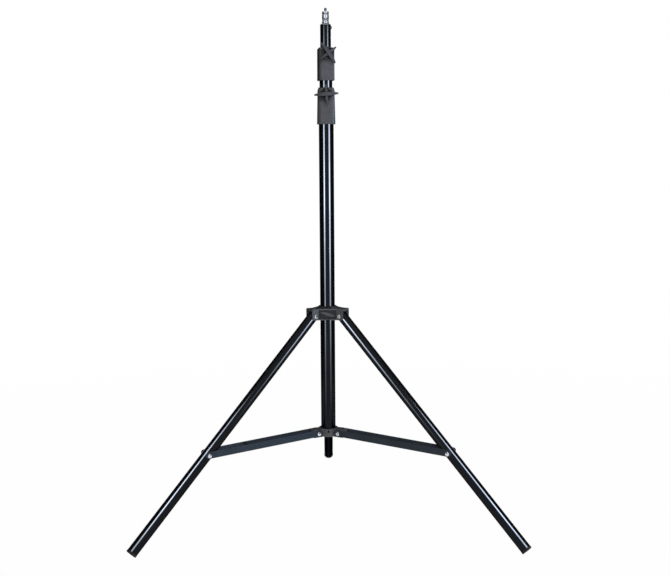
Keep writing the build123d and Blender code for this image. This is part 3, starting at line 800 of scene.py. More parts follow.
@dataclass
class SubAssembly:
    """Common work of the stand's sub-assemblies."""

    effects: Effects
    tube_end: float = 0.35 * MM
    hold: float = 1.5 * MM
    small_edge: float = 0.2 * MM

    def carry(self, finish: Finish, *nodes: str) -> None:
        """Gives CAD nodes that stay as they are their finish.

        Args:
            finish: the finish.
            nodes: names of the nodes.
        """
        for name in nodes:
            node = frame["nodes"][name]
            for material_slot in node.material_slots:
                material_slot.material = finish.material(self.effects)
            log.info("carried %s as %s", name, finish.name)

    def dress(self, piece: Piece, finish: Finish, body: str, *nodes: str) -> Piece:
        """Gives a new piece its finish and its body.

        Args:
            piece: the new piece, in place.
            finish: its finish.
            body: the CAD body that it rides on.
            nodes: CAD nodes that it stands for.

        Returns:
            The same piece.
        """
        piece.data.materials.clear()
        piece.data.materials.append(finish.material(self.effects))
        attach(piece, body)
        if nodes:
            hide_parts(*nodes)
        log.info("built %s on %s", piece.name, body)
        return piece

    def bearing(self, node: str) -> tuple[Vector, float]:
        """Finds where a CAD node stands round the column.

        Args:
            node: name of the node.

        Returns:
            The level direction to its middle, and its middle's height.
        """
        low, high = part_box(node)
        centre = (low + high) / 2
        return Vector((centre.x, centre.y, 0)).normalized(), centre.z

    def tube(self, name: str, outer: float, wall: float, low: float, high: float) -> Piece:
        """Round tube about its own Z with softly broken ends.

        Args:
            name: name of the piece.
            outer: outer radius.
            wall: wall thickness.
            low: height of one end.
            high: height of the other end.

        Returns:
            The tube.
        """
        inner, middle = outer - wall, (low + high) / 2
        corners = [(inner, low), (outer, low), (outer, high), (inner, high)]
        outline = rounded([(inner, middle), *corners, (inner, middle)], self.tube_end)[:-1]
        # a ring near each end keeps the shading of the long sides straight
        held: Outline = []
        for (r, z), (_, ahead) in zip(outline, outline[1:] + outline[:1]):
            held.append((r, z))
            if abs(ahead - z) > 4 * self.hold:
                step = math.copysign(self.hold, ahead - z)
                held += [(r, z + step), (r, ahead - step)]
        return lathe(name, held, closed=True)

    def hole(self, radius: float, length: float) -> Piece:
        """Round cutter about its own Z, as long either way."""
        outline = [(0, -length), (radius, -length), (radius, length), (0, length)]
        return lathe("hole", outline, SMALL)

    def rivet(
        self, name: str, seat: float, head: float, height: float, shank: float,
        start: float | None = None,
    ) -> Piece:
        """Pivot rivet about its own Z, with a domed head and a rolled, dimpled tail.

        Args:
            name: name of the piece.
            seat: distance from the middle to the underside of the head and the tail.
            head: radius of the head.
            height: height of the head.
            shank: radius of the shank.
            start: where a half rivet's shank begins, for one end only with a domed head.

        Returns:
            The rivet.
        """
        outline = [(shank, seat), *((head * r, seat + height * z) for r, z in RIVET_DOME)]
        if start is None:
            dimple = [(shank * r, -seat - height * z) for r, z in RIVET_DIMPLE]
            roll = [(head * r, -seat - height * z) for r, z in RIVET_ROLL]
            outline = [*dimple, *roll, (shank, -seat), *outline]
        else:
            outline = [(0, start), (shank, start), *outline]
        return lathe(name, rounded(outline, self.small_edge, 2), SMALL)

    def cross_screw(self, name: str, size: ScrewSize) -> Piece:
        """Pan-headed screw about its own Z, whose head sits on its origin.

        Args:
            name: name of the piece.
            size: its sizes.

        Returns:
            The screw, with a cross recess.
        """
        outline = [(0, -size.depth), (size.shank, -size.depth), (size.shank, 0)]
        outline += [(size.head * r, size.height * z) for r, z in PAN_HEAD]
        screw = lathe(name, rounded(outline, self.small_edge, 3), SMALL)
        arm, half = size.head * RECESS_ARM, size.head * RECESS_HALF
        cross = [
            (arm, -half), (arm, half), (half, half), (half, arm), (-half, arm), (-half, half),
            (-arm, half), (-arm, -half), (-half, -half), (-half, -arm), (half, -arm), (half, -half),
        ]
        above, floor = RECESS_TOP * size.height, RECESS_FLOOR * size.height
        return cut(screw, prism("recess", cross, above, floor, RECESS_NARROWS))

    def add_screw(
        self, name: str, size: ScrewSize, facing: Vector, seat: float, body: str, node: str
    ) -> None:
        """Puts in a screw that points at the column's axis.

        Args:
            name: name of the piece.
            size: its sizes.
            facing: level direction that its head faces.
            seat: distance of its head's underside from the axis.
            body: the CAD body that it rides on.
            node: the CAD node that it stands for, at whose height it sits.
        """
        spot = facing * seat + UP * self.bearing(node)[1]
        piece = place(self.cross_screw(name, size), spot, facing, UP)
        self.dress(piece, OXIDE_SCREW, body, node)


# ---------------------------------------------------------------- column
@dataclass
class Column(SubAssembly):
    """Three nested tubes and the guides inside them."""

    wall: float = 1.5 * MM
    base_radius: float = 17.5 * MM
    middle_radius: float = 15.0 * MM
    top_radius: float = 12.5 * MM
    hub_screw_hole: float = 2.05 * MM
    spigot_screw_hole: float = 2.55 * MM

    def build(self) -> None:
        """Builds the tubes, drills them for their screws and dresses the guides."""
        rows = (
            ("base_tube", "column_tube_base", self.base_radius, "column"),
            ("middle_tube", "column_tube_middle", self.middle_radius, "middle_section"),
            ("top_tube", "column_tube_top", self.top_radius, "top_section"),
        )
        screws = {
            "base_tube": ("hub_screw", self.hub_screw_hole),
            "top_tube": ("spigot_screw", self.spigot_screw_hole),
        }
        for node, name, radius, body in rows:
            low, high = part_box(node)
            piece = self.tube(name, radius, self.wall, low.z, high.z)
            if node in screws:
                self.drill(piece, radius, *screws[node])
            self.dress(piece, GLOSS_BLACK, body, node)
        self.carry(NYLON, "middle_guide", "top_guide")

    def drill(self, tube: Piece, radius: float, screw: str, hole_radius: float) -> None:
        """Cuts the hole that a screw passes through one wall of a tube.

        Args:
            tube: the tube.
            radius: outer radius of the tube.
            screw: the screw's CAD node.
            hole_radius: radius of the hole.
        """
        facing, height = self.bearing(screw)
        hole = self.hole(hole_radius, self.wall * 2)
        place(hole, facing * (radius - self.wall / 2) + UP * height, facing, UP)
        cut(tube, hole)


@dataclass
class Spigot(SubAssembly):
    """Chromed spigot with a threaded stud, and the screw that holds it."""

    radius: float = 8.0 * MM
    plug_radius: float = 10.95 * MM
    base_radius: float = 12.2 * MM
    base_height: float = 1.2 * MM
    cone_height: float = 2.6 * MM
    groove_rise: float = 10.0 * MM
    groove_half: float = 1.5 * MM
    groove_depth: float = 0.9 * MM
    shoulder_rise: float = 23.7 * MM
    shoulder_depth: float = 0.5 * MM
    length: float = 30.4 * MM
    edge: float = 1.0 * MM
    soft: float = 0.3 * MM
    stud_radius: float = 3.175 * MM
    stud_length: float = 8.4 * MM
    stud_root: float = 1.0 * MM
    stud_tip: float = 0.5 * MM
    thread_pitch: float = 1.27 * MM
    thread_depth: float = 0.55 * MM
    thread_neck: float = 0.9 * MM
    thread_run_out: float = 0.6 * MM
    thread_row: float = 0.11 * MM
    thread_slope: float = 2.6
    thread_crest: float = 1.5
    thread_segments: int = 72
    screw: ScrewSize = ScrewSize(head=3.7 * MM, height=2.7 * MM, shank=2.5 * MM, depth=5.5 * MM)
    screw_sunk: float = 0.45 * MM

    def build(self) -> None:
        """Builds the spigot, its stud and its screw."""
        low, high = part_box("spigot")
        foot = high.z - self.length - self.stud_length
        r, groove, shoulder = self.radius, foot + self.groove_rise, foot + self.shoulder_rise
        half, deep, shallow = self.groove_half, self.groove_depth, self.shoulder_depth
        top, plug, base = foot + self.length, self.plug_radius, self.base_radius
        outline = [
            (0, low.z), (plug, low.z), (plug, foot), (base, foot), (base, foot + self.base_height),
            (r, foot + self.base_height + self.cone_height),
            (r, groove - half - deep), (r - deep, groove - half), (r - deep, groove + half),
            (r, groove + half + deep), (r, shoulder - half), (r - shallow, shoulder - half),
            (r - shallow, shoulder + half), (r, shoulder + half), (r, top - self.edge),
            (r - self.edge, top), (0, top),
        ]
        turned = lathe("spigot_turned", rounded(outline, self.soft))
        self.dress(turned, CHROME, "top_section", "spigot")
        self.dress(self.stud(top, high.z), CHROME, "top_section")
        facing, seat = self.bearing("spigot_screw")[0], Column.top_radius - self.screw_sunk
        self.add_screw(
            "spigot_screw_head", self.screw, facing, seat, "top_section", "spigot_screw"
        )

    def stud(self, low: float, high: float) -> Piece:
        """Threaded stud on top of the spigot.

        Args:
            low: height of the spigot's top.
            high: height of the stud's end.

        Returns:
            The stud.
        """
        core = self.stud_radius - self.thread_depth
        tip, root = high - self.stud_tip, low - self.stud_root
        rows = int((high - low) / self.thread_row)

        def ridge(angle: float, height: float) -> float:
            """Height of the thread over its core.

            Args:
                angle: angle round the stud.
                height: height on the stud.

            Returns:
                The added radius.
            """
            turn = (height / self.thread_pitch - angle / (2 * math.pi)) % 1.0
            rise = max(0.0, 1.0 - abs(turn - 0.5) * self.thread_slope)
            start = min(1.0, max(0.0, (height - low - self.thread_neck) / self.thread_pitch))
            end = min(1.0, max(0.0, (tip - height) / self.thread_run_out))
            return self.thread_depth * min(1.0, rise * self.thread_crest) * start * end

        outline = [(0, root), (core, root)]
        outline += [(core, low + (tip - low) * k / rows) for k in range(rows + 1)]
        outline += [(core - 0.25 * MM, high - 0.12 * MM), (core - 0.55 * MM, high), (0, high)]
        return lathe("spigot_stud", outline, self.thread_segments, ridge=ridge)


@dataclass
class Locks(SubAssembly):
    """The two collars with their knobs, screws, pads, bushes and inserts."""

    lower_azimuth: float = 271.5
    shoulder_height: float = 9.0 * MM
    shoulder_reach: float = 19.7 * MM
    shoulder_slope: float = 2.4 * MM
    rib_half: float = 0.8 * MM
    rib_rise: float = 0.9 * MM
    rib_sunk: float = 0.5 * MM
    rib_soft: float = 0.25 * MM
    rib_foot: float = 0.4 * MM
    rib_end: float = 0.3 * MM
    rib_gap: float = 6.2 * MM
    rib_steps: tuple[int, ...] = (-2, -1, 0, 1, 2)

    def build(self) -> None:
        """Dresses both locks and puts the ribs on the lower collar's shoulder."""
        self.dress(self.shoulder_ribs(), CAST_GREY, "column")
        for lock in ("lower", "upper"):
            self.carry(CAST_GREY, f"{lock}_collar")
            self.carry(NYLON, f"{lock}_collar_bush", f"{lock}_brake_pad")
            self.carry(BRASS, f"{lock}_collar_insert")
            self.carry(ZINC, f"{lock}_knob_screw")
            self.carry(MOULDED_KNOB, f"{lock}_knob")

    def shoulder_ribs(self) -> Piece:
        """Small ribs down the sloping shoulder of the lower collar, on all four sides.

        Returns:
            The ribs as one piece.
        """
        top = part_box("lower_collar")[1].z
        foot, reach, slope = top - self.shoulder_height, self.shoulder_reach, self.shoulder_slope
        crest, sunk = reach + self.rib_rise, self.rib_sunk
        low, high = foot + self.rib_foot, top - self.rib_end
        # a side view of one rib: distance from the column, and height
        outline = [
            (reach - sunk, low), (reach + 0.3 * MM, low), (crest - 0.15 * slope, foot + 1.5 * MM),
            (crest - 0.85 * slope, top - 1.4 * MM), (reach - slope + 0.2 * MM, high),
            (reach - slope - sunk, high),
        ]
        ribs = []
        for side in range(4):
            azimuth = self.lower_azimuth + 90 * side
            across = outward(azimuth + 90)
            for step in self.rib_steps:
                rib = prism("rib", outline, -self.rib_half, self.rib_half, soft=self.rib_soft)
                ribs.append(place(rib, across * (step * self.rib_gap), -across, outward(azimuth)))
        return merge("lower_collar_ribs", ribs)


# ---------------------------------------------------------------- folding base
@dataclass
class Arms(SubAssembly):
    """Places of the three arms that the crown, the hub, the legs and the braces share."""

    head: float = 5.0 * MM
    head_height: float = 2.2 * MM
    shank: float = 3.0 * MM
    azimuths: tuple[tuple[str, float], ...] = (("left", 210.0), ("right", 330.0), ("rear", 90.0))

    def pivot(self, rivets: str, azimuth: float) -> Vector:
        """Middle of one of a set of three rivets, from the box of the set.

        Args:
            rivets: CAD node of the three rivets.
            azimuth: azimuth of the arm.

        Returns:
            The rivet's middle.
        """
        low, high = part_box(rivets)
        return outward(azimuth) * (high.y - self.head) + UP * ((low.z + high.z) / 2)

    def add_rivets(self, node: str, body: str, seat: float) -> None:
        """Puts a rivet through each of a set of three pivots.

        Args:
            node: CAD node that they stand for.
            body: the body that they ride on.
            seat: distance from the middle to the underside of a head.
        """
        for side, azimuth in self.azimuths:
            piece = self.rivet(f"{node}_{side}", seat, self.head, self.head_height, self.shank)
            place(piece, self.pivot(node, azimuth), outward(azimuth + 90), outward(azimuth))
            self.dress(piece, ZINC, body, *([node] if side == "left" else []))


@dataclass
class Crown(Arms):
    """Sliding crown with its bush and the rivets of the legs."""

    seat: float = 15.2 * MM
    height: float = 26.9 * MM
    floor_distance: float = 28.7 * MM
    floor_half: float = 20.43 * MM
    floor_rim: float = 2.8 * MM
    floor_gap: float = 0.2 * MM
    floor_rise: float = 0.18 * MM
    floor_sunk: float = 0.1 * MM
    panel_turn: float = 60.0
    notch_half: float = 8.0 * MM
    notch_rise: float = 5.0 * MM
    rib_rise: float = 1.5 * MM
    rib_sunk: float = 0.3 * MM
    rib_soft: float = 0.6 * MM
    rib_half_length: float = 17.5 * MM
    rib_drop: float = 4.6 * MM
    rib_lift: float = 0.6 * MM
    rib_bow: float = 3.4 * MM
    rib_tip: float = 0.6 * MM
    rib_lean: float = 0.26
    rib_steps: int = 12

    def build(self) -> None:
        """Dresses the casting and puts in its rivets and panel ribs."""
        self.carry(CAST_GREY, "crown")
        # a darker sheet in each recessed panel paints the shade of the recess
        self.dress(self.panel_shade_sheets(), RECESS_PAINTED_SHADE, "crown")
        self.dress(self.panel_ribs(), CAST_GREY, "crown")
        self.carry(NYLON, "crown_bush")
        self.add_rivets("crown_rivets", "crown", self.seat)

    def on_panels(
        self, name: str, outline: Outline, origin: float, sunk: float, rise: float, soft: float
    ) -> Piece:
        """Puts the same flat form on each of the crown's three recessed panels.

        Args:
            name: name of the joined piece.
            outline: corners of the form, across and up the panel.
            origin: height of the outline's origin over the crown's foot.
            sunk: how far the form goes into the panel.
            rise: how far it stands out.
            soft: radius of its rounded edges.

        Returns:
            The three forms as one piece.
        """
        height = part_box("crown")[0].z + origin
        forms = []
        for _, azimuth in self.azimuths:
            facing = outward(azimuth + self.panel_turn)
            form = prism("form", outline, -sunk, rise, soft=soft)
            spot = facing * self.floor_distance + UP * height
            forms.append(place(form, spot, facing, outward(azimuth + self.panel_turn + 90)))
        return merge(name, forms)

    def panel_shade_sheets(self) -> Piece:
        """Darker sheet on the floor of each recessed panel, which paints the panel's shade.

        Returns:
            The floors as one piece.
        """
        half, gap = self.floor_half, self.floor_gap
        bottom, top = self.floor_rim + gap, self.height - self.floor_rim - gap
        notch, foot = self.notch_half + gap, self.notch_rise + gap
        outline = [
            (-half, bottom), (-notch, bottom), (-notch, foot), (notch, foot), (notch, bottom),
            (half, bottom), (half, top), (-half, top),
        ]
        return self.on_panels(
            "crown_panel_shade_sheets", outline, 0.0, self.floor_sunk, self.floor_rise, self.floor_sunk
        )

    def panel_ribs(self) -> Piece:
        """Slim bowed rib that runs down across each recessed panel.

        Returns:
            The ribs as one piece.
        """
        outline = []
        for side in (1, -1):
            for step in range(self.rib_steps + 1):
                t = side * (2 * step / self.rib_steps - 1)
                bow = side * (self.rib_bow * (1 - t * t) + self.rib_tip)
                outline.append((
                    self.rib_half_length * t - self.rib_lean * bow,
                    -self.rib_drop * t + self.rib_lift + bow,
                ))
        return self.on_panels(
            "crown_panel_ribs", outline, self.height / 2, self.rib_sunk, self.rib_rise,
            self.rib_soft,
        )


@dataclass
class Hub(Arms):
    """Hub at the column's foot with its screw and the rivets of the braces."""

    seat: float = 14.95 * MM
    radius: float = 23.5 * MM
    screw: ScrewSize = ScrewSize(head=3.5 * MM, height=1.8 * MM, shank=2.0 * MM, depth=7.0 * MM)

    def build(self) -> None:
        """Dresses the casting and puts in its rivets and screw."""
        self.carry(CAST_GREY, "hub")
        self.add_rivets("hub_rivets", "column", self.seat)
        front = Vector((0, -1, 0))
        self.add_screw("hub_screw_head", self.screw, front, self.radius, "column", "hub_screw")


@dataclass(frozen=True)
class LegLine:
    """Line that one opened leg lies on, from its pivot down."""

    side: str
    azimuth: float
    pivot: Vector
    along: Vector

    def lay(self, piece: Piece) -> Piece:
        """Lays a piece that is drawn about its own Z on the line, its Y along the rivets."""
        across = outward(self.azimuth + 90).cross(self.along)
        return place(piece, self.pivot, self.along, across)


@dataclass
class Legs(Arms):
    """Three round legs with their plugs, feet and braces."""

    radius: float = 12.5 * MM
    wall: float = 1.5 * MM
    above: float = 7.0 * MM
    length: float = 681.0 * MM
    open_angle: float = math.radians(43.4)
    rivet_gap: float = 0.08 * MM
    foot_cap: float = 6.0 * MM
    foot_radius: float = 12.9 * MM
    foot_edge: float = 0.8 * MM
    foot_lip: tuple[tuple[float, float], ...] = (
        (0.3 * MM, 0.0), (0.1 * MM, 1.0 * MM), (0.5 * MM, 1.5 * MM), (0.1 * MM, 2.0 * MM),
    )
    foot_soft: float = 0.3 * MM
    sole_rings: tuple[float, ...] = (9.4 * MM, 5.2 * MM)
    ring_width: float = 1.8 * MM
    ring_slope: float = 0.3 * MM
    ring_depth: float = 0.7 * MM
    plug_radius: float = 10.95 * MM
    plug: float = 24.0 * MM
    brace_rivet: float = 407.3 * MM
    seat: float = 14.8 * MM
    shank_start: float = 13.0 * MM
    back_head: float = 0.85
    back_height: float = 0.4
    back_from: float = 0.1

    def build(self) -> None:
        """Builds each leg with its foot, and dresses its plug and brace."""
        for side, azimuth in self.azimuths:
            along = outward(azimuth) * math.sin(self.open_angle)
            along.z = -math.cos(self.open_angle)
            line = LegLine(side, azimuth, self.pivot("crown_rivets", azimuth), along)
            self.add_leg(line)
            self.add_foot(line)
            self.add_brace_rivets(line)
            self.carry(NYLON, f"leg_plug_{side}")
            self.carry(PAINTED_BRACE, f"brace_{side}")

    def add_leg(self, line: LegLine) -> None:
        """Builds one leg's tube with its two rivet holes.

        Args:
            line: the leg's line.
        """
        name, end = f"leg_tube_{line.side}", self.length - self.foot_cap
        piece = self.tube(name, self.radius, self.wall, -self.above, end)
        for distance in (0.0, self.brace_rivet):
            hole = self.hole(self.shank + self.rivet_gap, 2 * self.radius)
            cut(piece, place(hole, UP * distance, Vector((0, 1, 0)), UP))
        self.dress(line.lay(piece), GLOSS_BLACK, f"leg_{line.side}", f"leg_{line.side}")

    def add_foot(self, line: LegLine) -> None:
        """Builds one foot: a cap with ringed sole and the plug in the leg.

        Args:
            line: the leg's line.
        """
        r, end, start = self.foot_radius, self.length, self.length - self.foot_cap
        plug, edge = self.plug_radius, self.foot_edge
        outline = [
            (0, start - self.plug), (plug, start - self.plug), (plug, start),
            *((r - inset, start + rise) for inset, rise in self.foot_lip),
            (r, end - edge), (r - edge, end),
        ]
        for ring in self.sole_rings:
            inner, floor = ring - self.ring_width, end - self.ring_depth
            outline += [
                (ring, end), (ring - self.ring_slope, floor), (inner + self.ring_slope, floor),
                (inner, end),
            ]
        outline.append((0, end))
        name = f"foot_cap_{line.side}"
        piece = merge(name, [line.lay(lathe(name, rounded(outline, self.foot_soft, 3)))])
        self.dress(piece, RUBBER, f"leg_{line.side}", f"foot_{line.side}")

    def add_brace_rivets(self, line: LegLine) -> None:
        """Puts the two short rivets through the flanges of the leg's brace.

        Args:
            line: the leg's line.
        """
        side, middle = line.side, line.pivot + line.along * self.brace_rivet
        for end, turn in (("a", 90), ("b", -90)):
            facing, name = outward(line.azimuth + turn), f"brace_rivet_{side}_{end}"
            head, height = self.head, self.head_height
            if facing.y > self.back_from:
                head, height = head * self.back_head, height * self.back_height
            piece = self.rivet(name, self.seat, head, height, self.shank, self.shank_start)
            place(piece, middle, facing, outward(line.azimuth))
            stood_for = [f"brace_rivets_{side}"] if end == "a" else []
            self.dress(piece, ZINC, f"brace_{side}", *stood_for)


# ---------------------------------------------------------------- studio
@dataclass(frozen=True)
class Upright:
    """Flat upright source that faces the column. Its azimuth counts from the front to the right."""

    name: str
    azimuth: float
    distance: float
    low: float
    high: float
    width: float
    radiance: float
    tint: Colour = WHITE

    def stand(self, thing: Piece) -> None:
        """Stands the lamp or card, drawn in its own X and Y, in its place.

        Args:
            thing: the lamp or card.
        """
        towards = outward(self.azimuth - 90)
        middle = UP * ((self.low + self.high) / 2)
        place(thing, towards * self.distance + middle, towards, UP.cross(towards))


@dataclass(frozen=True)
class SoftBox(Upright):
    """Large soft light."""

    in_gloss: bool = False

    def build(self, matt: bpy.types.Collection) -> None:
        """Makes the light.

        Args:
            matt: the only pieces that it shows in, where it shows in gloss at all.
        """
        light = bpy.data.lights.new(self.name, "AREA")
        light.shape = "RECTANGLE"
        light.size = self.width
        light.size_y = self.high - self.low
        light.color = self.tint
        light.energy = self.radiance * math.pi * light.size * light.size_y
        lamp = bpy.data.objects.new(self.name, light)
        bpy.context.scene.collection.objects.link(lamp)
        self.stand(lamp)
        lamp.visible_camera = False
        if self.in_gloss:
            lamp.light_linking.receiver_collection = matt
        else:
            lamp.visible_glossy = False


class ShowsIn(Enum):
    """Pieces that a gloss card shows in."""

    TUBES = "tubes"
    SPIGOT = "spigot"
    ALL_METAL = "all_metal"


@dataclass(frozen=True)
class GlossCard(Upright):
    """Card that is seen only in gloss: a strip of light, or a dark flag."""

    shares: tuple[tuple[float, float], ...] = ((0.0, 1.0),)
    shows_in: ShowsIn = ShowsIn.TUBES
    plain_share: float = 0.6
    last_bounce: float = 1.5

    def build(self, metal: dict[ShowsIn, bpy.types.Collection]) -> None:
        """Makes the card, whose light follows its shares by height and fades to its sides.

        Args:
            metal: the metal pieces that each kind of card shows in.
        """
        half, tall = self.width / 2, (self.high - self.low) / 2
        corners = ((-half, -tall), (half, -tall), (half, tall), (-half, tall))
        builder = bmesh.new()
        builder.faces.new([builder.verts.new((x, y, 0)) for x, y in corners])
        card = object_from(builder, self.name)
        self.stand(card)
        paint = bpy.data.materials.new(self.name)
        w = Wiring.on(paint)
        where = w.node(
            "ShaderNodeSeparateXYZ", {0: w.node("ShaderNodeTexCoord").outputs["Object"]}
        ).outputs
        rise = w.node("ShaderNodeValToRGB", {0: w.maths("MULTIPLY_ADD", where[1], 0.5 / tall, 0.5)})
        self.fill_ramp(rise.color_ramp)
        side = w.spread(w.maths("ABSOLUTE", where[0]), self.plain_share * half, half, 1.0, 0.0)
        level = w.maths("MULTIPLY", w.maths("MULTIPLY", rise.outputs[0], side), self.radiance)
        # it shows in the surface that is looked at, not by way of another
        bounced = w.node("ShaderNodeLightPath").outputs["Ray Depth"]
        level = w.maths("MULTIPLY", level, w.maths("LESS_THAN", bounced, self.last_bounce))
        glow = w.node("ShaderNodeEmission", {"Color": (*self.tint, 1), "Strength": level})
        w.node("ShaderNodeOutputMaterial", {"Surface": glow.outputs[0]})
        card.data.materials.append(paint)
        for ray in ("camera", "diffuse", "transmission", "shadow", "volume_scatter"):
            setattr(card, "visible_" + ray, False)
        card.light_linking.receiver_collection = metal[self.shows_in]

    def fill_ramp(self, ramp: bpy.types.ColorRamp) -> None:
        """Sets a ramp to the card's shares.

        Args:
            ramp: the ramp, which runs from the card's foot to its top.
        """
        ramp.interpolation = "EASE"
        while len(ramp.elements) < len(self.shares):
            ramp.elements.new(0.5)
        while len(ramp.elements) > len(self.shares):
            ramp.elements.remove(ramp.elements[-1])
        for stop, (height, share) in zip(ramp.elements, self.shares):
            stop.position = (height - self.low) / (self.high - self.low)
            stop.color = (share, share, share, 1)


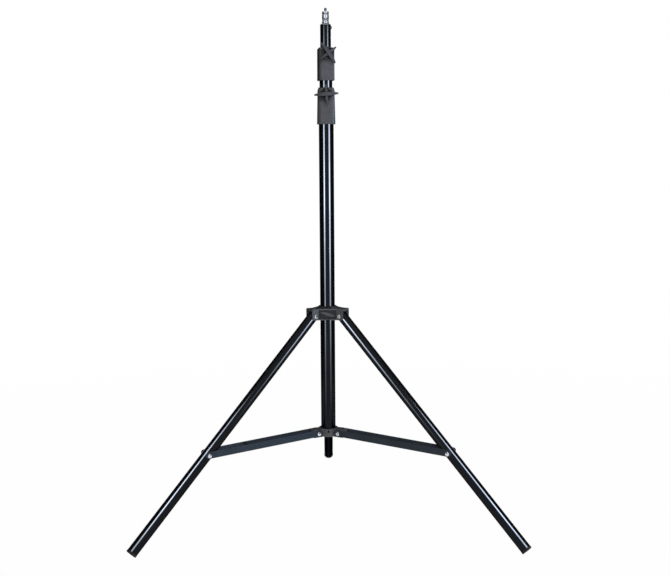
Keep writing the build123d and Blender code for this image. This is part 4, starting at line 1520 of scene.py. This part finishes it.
@dataclass
class Studio:
    """White set: floor, world, soft lights, gloss cards and flags."""

    floor_half: float = 9.0
    floor_colour: float = 0.6
    floor_white: float = 0.985
    fade_from: float = 1.0
    fade_to: float = 3.0
    mottle_scale: float = 14.0
    ambient: float = 0.12
    ambient_blue: float = 1.03
    lights: tuple[SoftBox, ...] = (
        SoftBox("front_fill", 11.0, 2.9, 0.8, 2.8, 1.7, 5.3, (1.0, 0.995, 0.985)),
        SoftBox("right_side", 66.0, 2.4, 0.3, 2.3, 0.3, 19.0, (0.5, 0.68, 1.0), in_gloss=True),
        SoftBox("back_fill", 190.0, 2.9, 0.9, 2.7, 1.6, 3.0, (0.99, 0.995, 1.0)),
    )
    cards: tuple[GlossCard, ...] = (
        GlossCard(
            "left_strip", -36.5, 1.15, 0.0, 1.318, 0.44, 92.0, (0.92, 0.96, 1.0),
            ((0.0, 0.03), (0.1, 0.07), (0.4, 0.28), (0.53, 0.45), (0.72, 1.0), (1.12, 0.62),
             (1.318, 0.17)),
        ),
        GlossCard(
            "right_strip", 46.5, 1.15, 0.0, 1.318, 0.48, 88.0, (0.84, 0.91, 1.0),
            ((0.0, 0.03), (0.1, 0.07), (0.4, 0.35), (0.53, 0.6), (0.7, 1.0), (1.12, 0.7),
             (1.318, 0.38)),
        ),
        *(
            GlossCard(name, azimuth, 1.15, 1.318, 1.7, width, 3.6, (0.96, 0.98, 1.0),
                      shows_in=ShowsIn.SPIGOT)
            for name, azimuth, width in (
                ("left_high_strip", -36.5, 0.36), ("right_high_strip", 46.5, 0.4),
            )
        ),
        *(
            GlossCard(name, azimuth, 1.5, 0.0, 1.8, 0.4, 30.0, (0.9, 0.95, 1.0),
                      ((0.0, 0.1), (0.7, 1.0), (1.5, 0.8)))
            for name, azimuth in (("left_back_strip", -140.0), ("right_back_strip", 140.0))
        ),
        *(
            GlossCard(name, azimuth, distance, 0.0, high, width, radiance,
                      shows_in=ShowsIn.ALL_METAL)
            for name, azimuth, distance, high, width, radiance in (
                ("front_white", 0.0, 2.3, 3.2, 7.4, 1.0),
                ("back_white", 180.0, 2.3, 3.2, 2.2, 1.0),
                ("left_flag", -112.0, 1.4, 2.4, 4.2, 0.18),
                ("right_flag", 115.0, 1.4, 2.4, 4.2, 0.3),
            )
        ),
    )

    def build(self) -> None:
        """Sets up everything that isn't part of the stand."""
        bpy.context.scene.view_settings.view_transform = "Standard"
        self.add_world()
        self.add_floor()
        metal, matt = self.sorted_pieces()
        for light in self.lights:
            light.build(matt)
        for card in self.cards:
            card.build(metal)
        log.info("built the studio")

    @staticmethod
    def sorted_pieces() -> tuple[dict[ShowsIn, bpy.types.Collection], bpy.types.Collection]:
        """Sorts the pieces by what shows in them.

        Returns:
            The metal pieces by the kinds of card that show in them, and the other pieces.
        """
        metal = {kind: bpy.data.collections.new(kind.value) for kind in ShowsIn}
        matt = bpy.data.collections.new("matt_pieces")
        shown_in = {
            GLOSS_BLACK.material_name: (ShowsIn.TUBES, ShowsIn.ALL_METAL),
            OXIDE_SCREW.material_name: (ShowsIn.TUBES, ShowsIn.ALL_METAL),
            CHROME.material_name: (ShowsIn.SPIGOT, ShowsIn.ALL_METAL),
            ZINC.material_name: (ShowsIn.ALL_METAL,),
        }
        for piece in bpy.context.scene.objects:
            if piece.type != "MESH" or not piece.material_slots:
                continue
            worn = piece.material_slots[0].material.name
            for kind in shown_in.get(worn, ()):
                metal[kind].objects.link(piece)
            if worn not in shown_in:
                matt.objects.link(piece)
        return metal, matt

    @staticmethod
    def seen(w: Wiring) -> Socket:
        """Marks the rays that show the background: from the camera, in gloss or through glass.

        Args:
            w: wiring of the tree that asks.

        Returns:
            The mask.
        """
        path = w.node("ShaderNodeLightPath").outputs
        both = w.maths("MAXIMUM", path["Is Camera Ray"], path["Is Glossy Ray"])
        return w.maths("MAXIMUM", both, path["Is Transmission Ray"])

    def add_world(self) -> None:
        """White world where it is seen, plain soft ambient where it lights."""
        world = bpy.data.worlds.new("studio_world")
        w = Wiring.on(world)
        level = (self.ambient, self.ambient, self.ambient * self.ambient_blue, 1)
        colour = w.mix(self.seen(w), level, WHITE)
        back = w.node("ShaderNodeBackground", {"Color": colour, "Strength": 1.0})
        w.node("ShaderNodeOutputWorld", {"Surface": back.outputs[0]})
        bpy.context.scene.world = world

    def add_floor(self) -> None:
        """Pale floor that keeps a light shadow and goes white with distance."""
        builder = bmesh.new()
        bmesh.ops.create_grid(builder, x_segments=24, y_segments=24, size=self.floor_half)
        floor = object_from(builder, "studio_floor")
        paint = bpy.data.materials.new("floor_paint")
        w = Wiring.on(paint)
        where = w.node("ShaderNodeTexCoord").outputs["Object"]
        distance = w.vector("LENGTH", where, (0, 0, 0), "Value")
        far = w.spread(distance, self.fade_from, self.fade_to, none=self.floor_white)
        mottle = w.noise(where, self.mottle_scale, detail=4.0)
        mottle = w.spread(mottle, none_at=0.3, full_at=0.7, none=0.985)
        shade = w.maths("MULTIPLY", mottle, self.floor_colour)
        tint = w.node("ShaderNodeCombineColor", {0: shade, 1: shade, 2: shade}).outputs[0]
        paper = w.node(
            "ShaderNodeBsdfPrincipled",
            {"Base Color": tint, "Roughness": 0.9, "Specular IOR Level": 0.1},
        )
        white = w.node("ShaderNodeEmission", {"Color": (*WHITE, 1), "Strength": 1.0})
        share = w.maths("MULTIPLY", self.seen(w), far)
        both = w.node("ShaderNodeMixShader", {0: share, 1: paper.outputs[0], 2: white.outputs[0]})
        w.node("ShaderNodeOutputMaterial", {"Surface": both.outputs[0]})
        floor.data.materials.append(paint)


@dataclass
class Viewpoint:
    """Camera at standing height in front of the stand. Angles are in radians."""

    distance: float = 2.46976
    height: float = 0.88725
    side: float = -0.03194
    pitch: float = 0.1293
    yaw: float = 0.02028
    roll: float = -0.0064
    orbit: float = 0.0132
    lens: float = 56.01
    sensor: float = 36.0

    def build(self) -> None:
        """Makes the camera and sets it as the scene's."""
        ahead = Vector((
            math.sin(self.yaw) * math.cos(self.pitch),
            math.cos(self.yaw) * math.cos(self.pitch),
            -math.sin(self.pitch),
        ))
        level = Vector((math.cos(self.yaw), -math.sin(self.yaw), 0))
        upright = level.cross(ahead)
        right = math.cos(self.roll) * level + math.sin(self.roll) * upright
        up = math.cos(self.roll) * upright - math.sin(self.roll) * level
        camera = bpy.data.cameras.new("viewpoint")
        camera.lens = self.lens
        camera.sensor_width = self.sensor
        camera.sensor_fit = "HORIZONTAL"
        eye = bpy.data.objects.new("viewpoint", camera)
        bpy.context.scene.collection.objects.link(eye)
        turn = Matrix((right, up, -ahead)).transposed().to_4x4()
        spot = Matrix.Translation((self.side, -self.distance, self.height))
        eye.matrix_world = Matrix.Rotation(self.orbit, 4, "Z") @ spot @ turn
        bpy.context.scene.camera = eye


def main() -> None:
    """Builds the sub-assemblies in order, then the set."""
    logging.basicConfig(level=logging.INFO, format="%(message)s")
    effects = Effects()
    Viewpoint().build()
    for assembly in (Column, Spigot, Locks, Crown, Hub, Legs):
        assembly(effects).build()
    Studio().build()


if __name__ == "__main__":
    main()
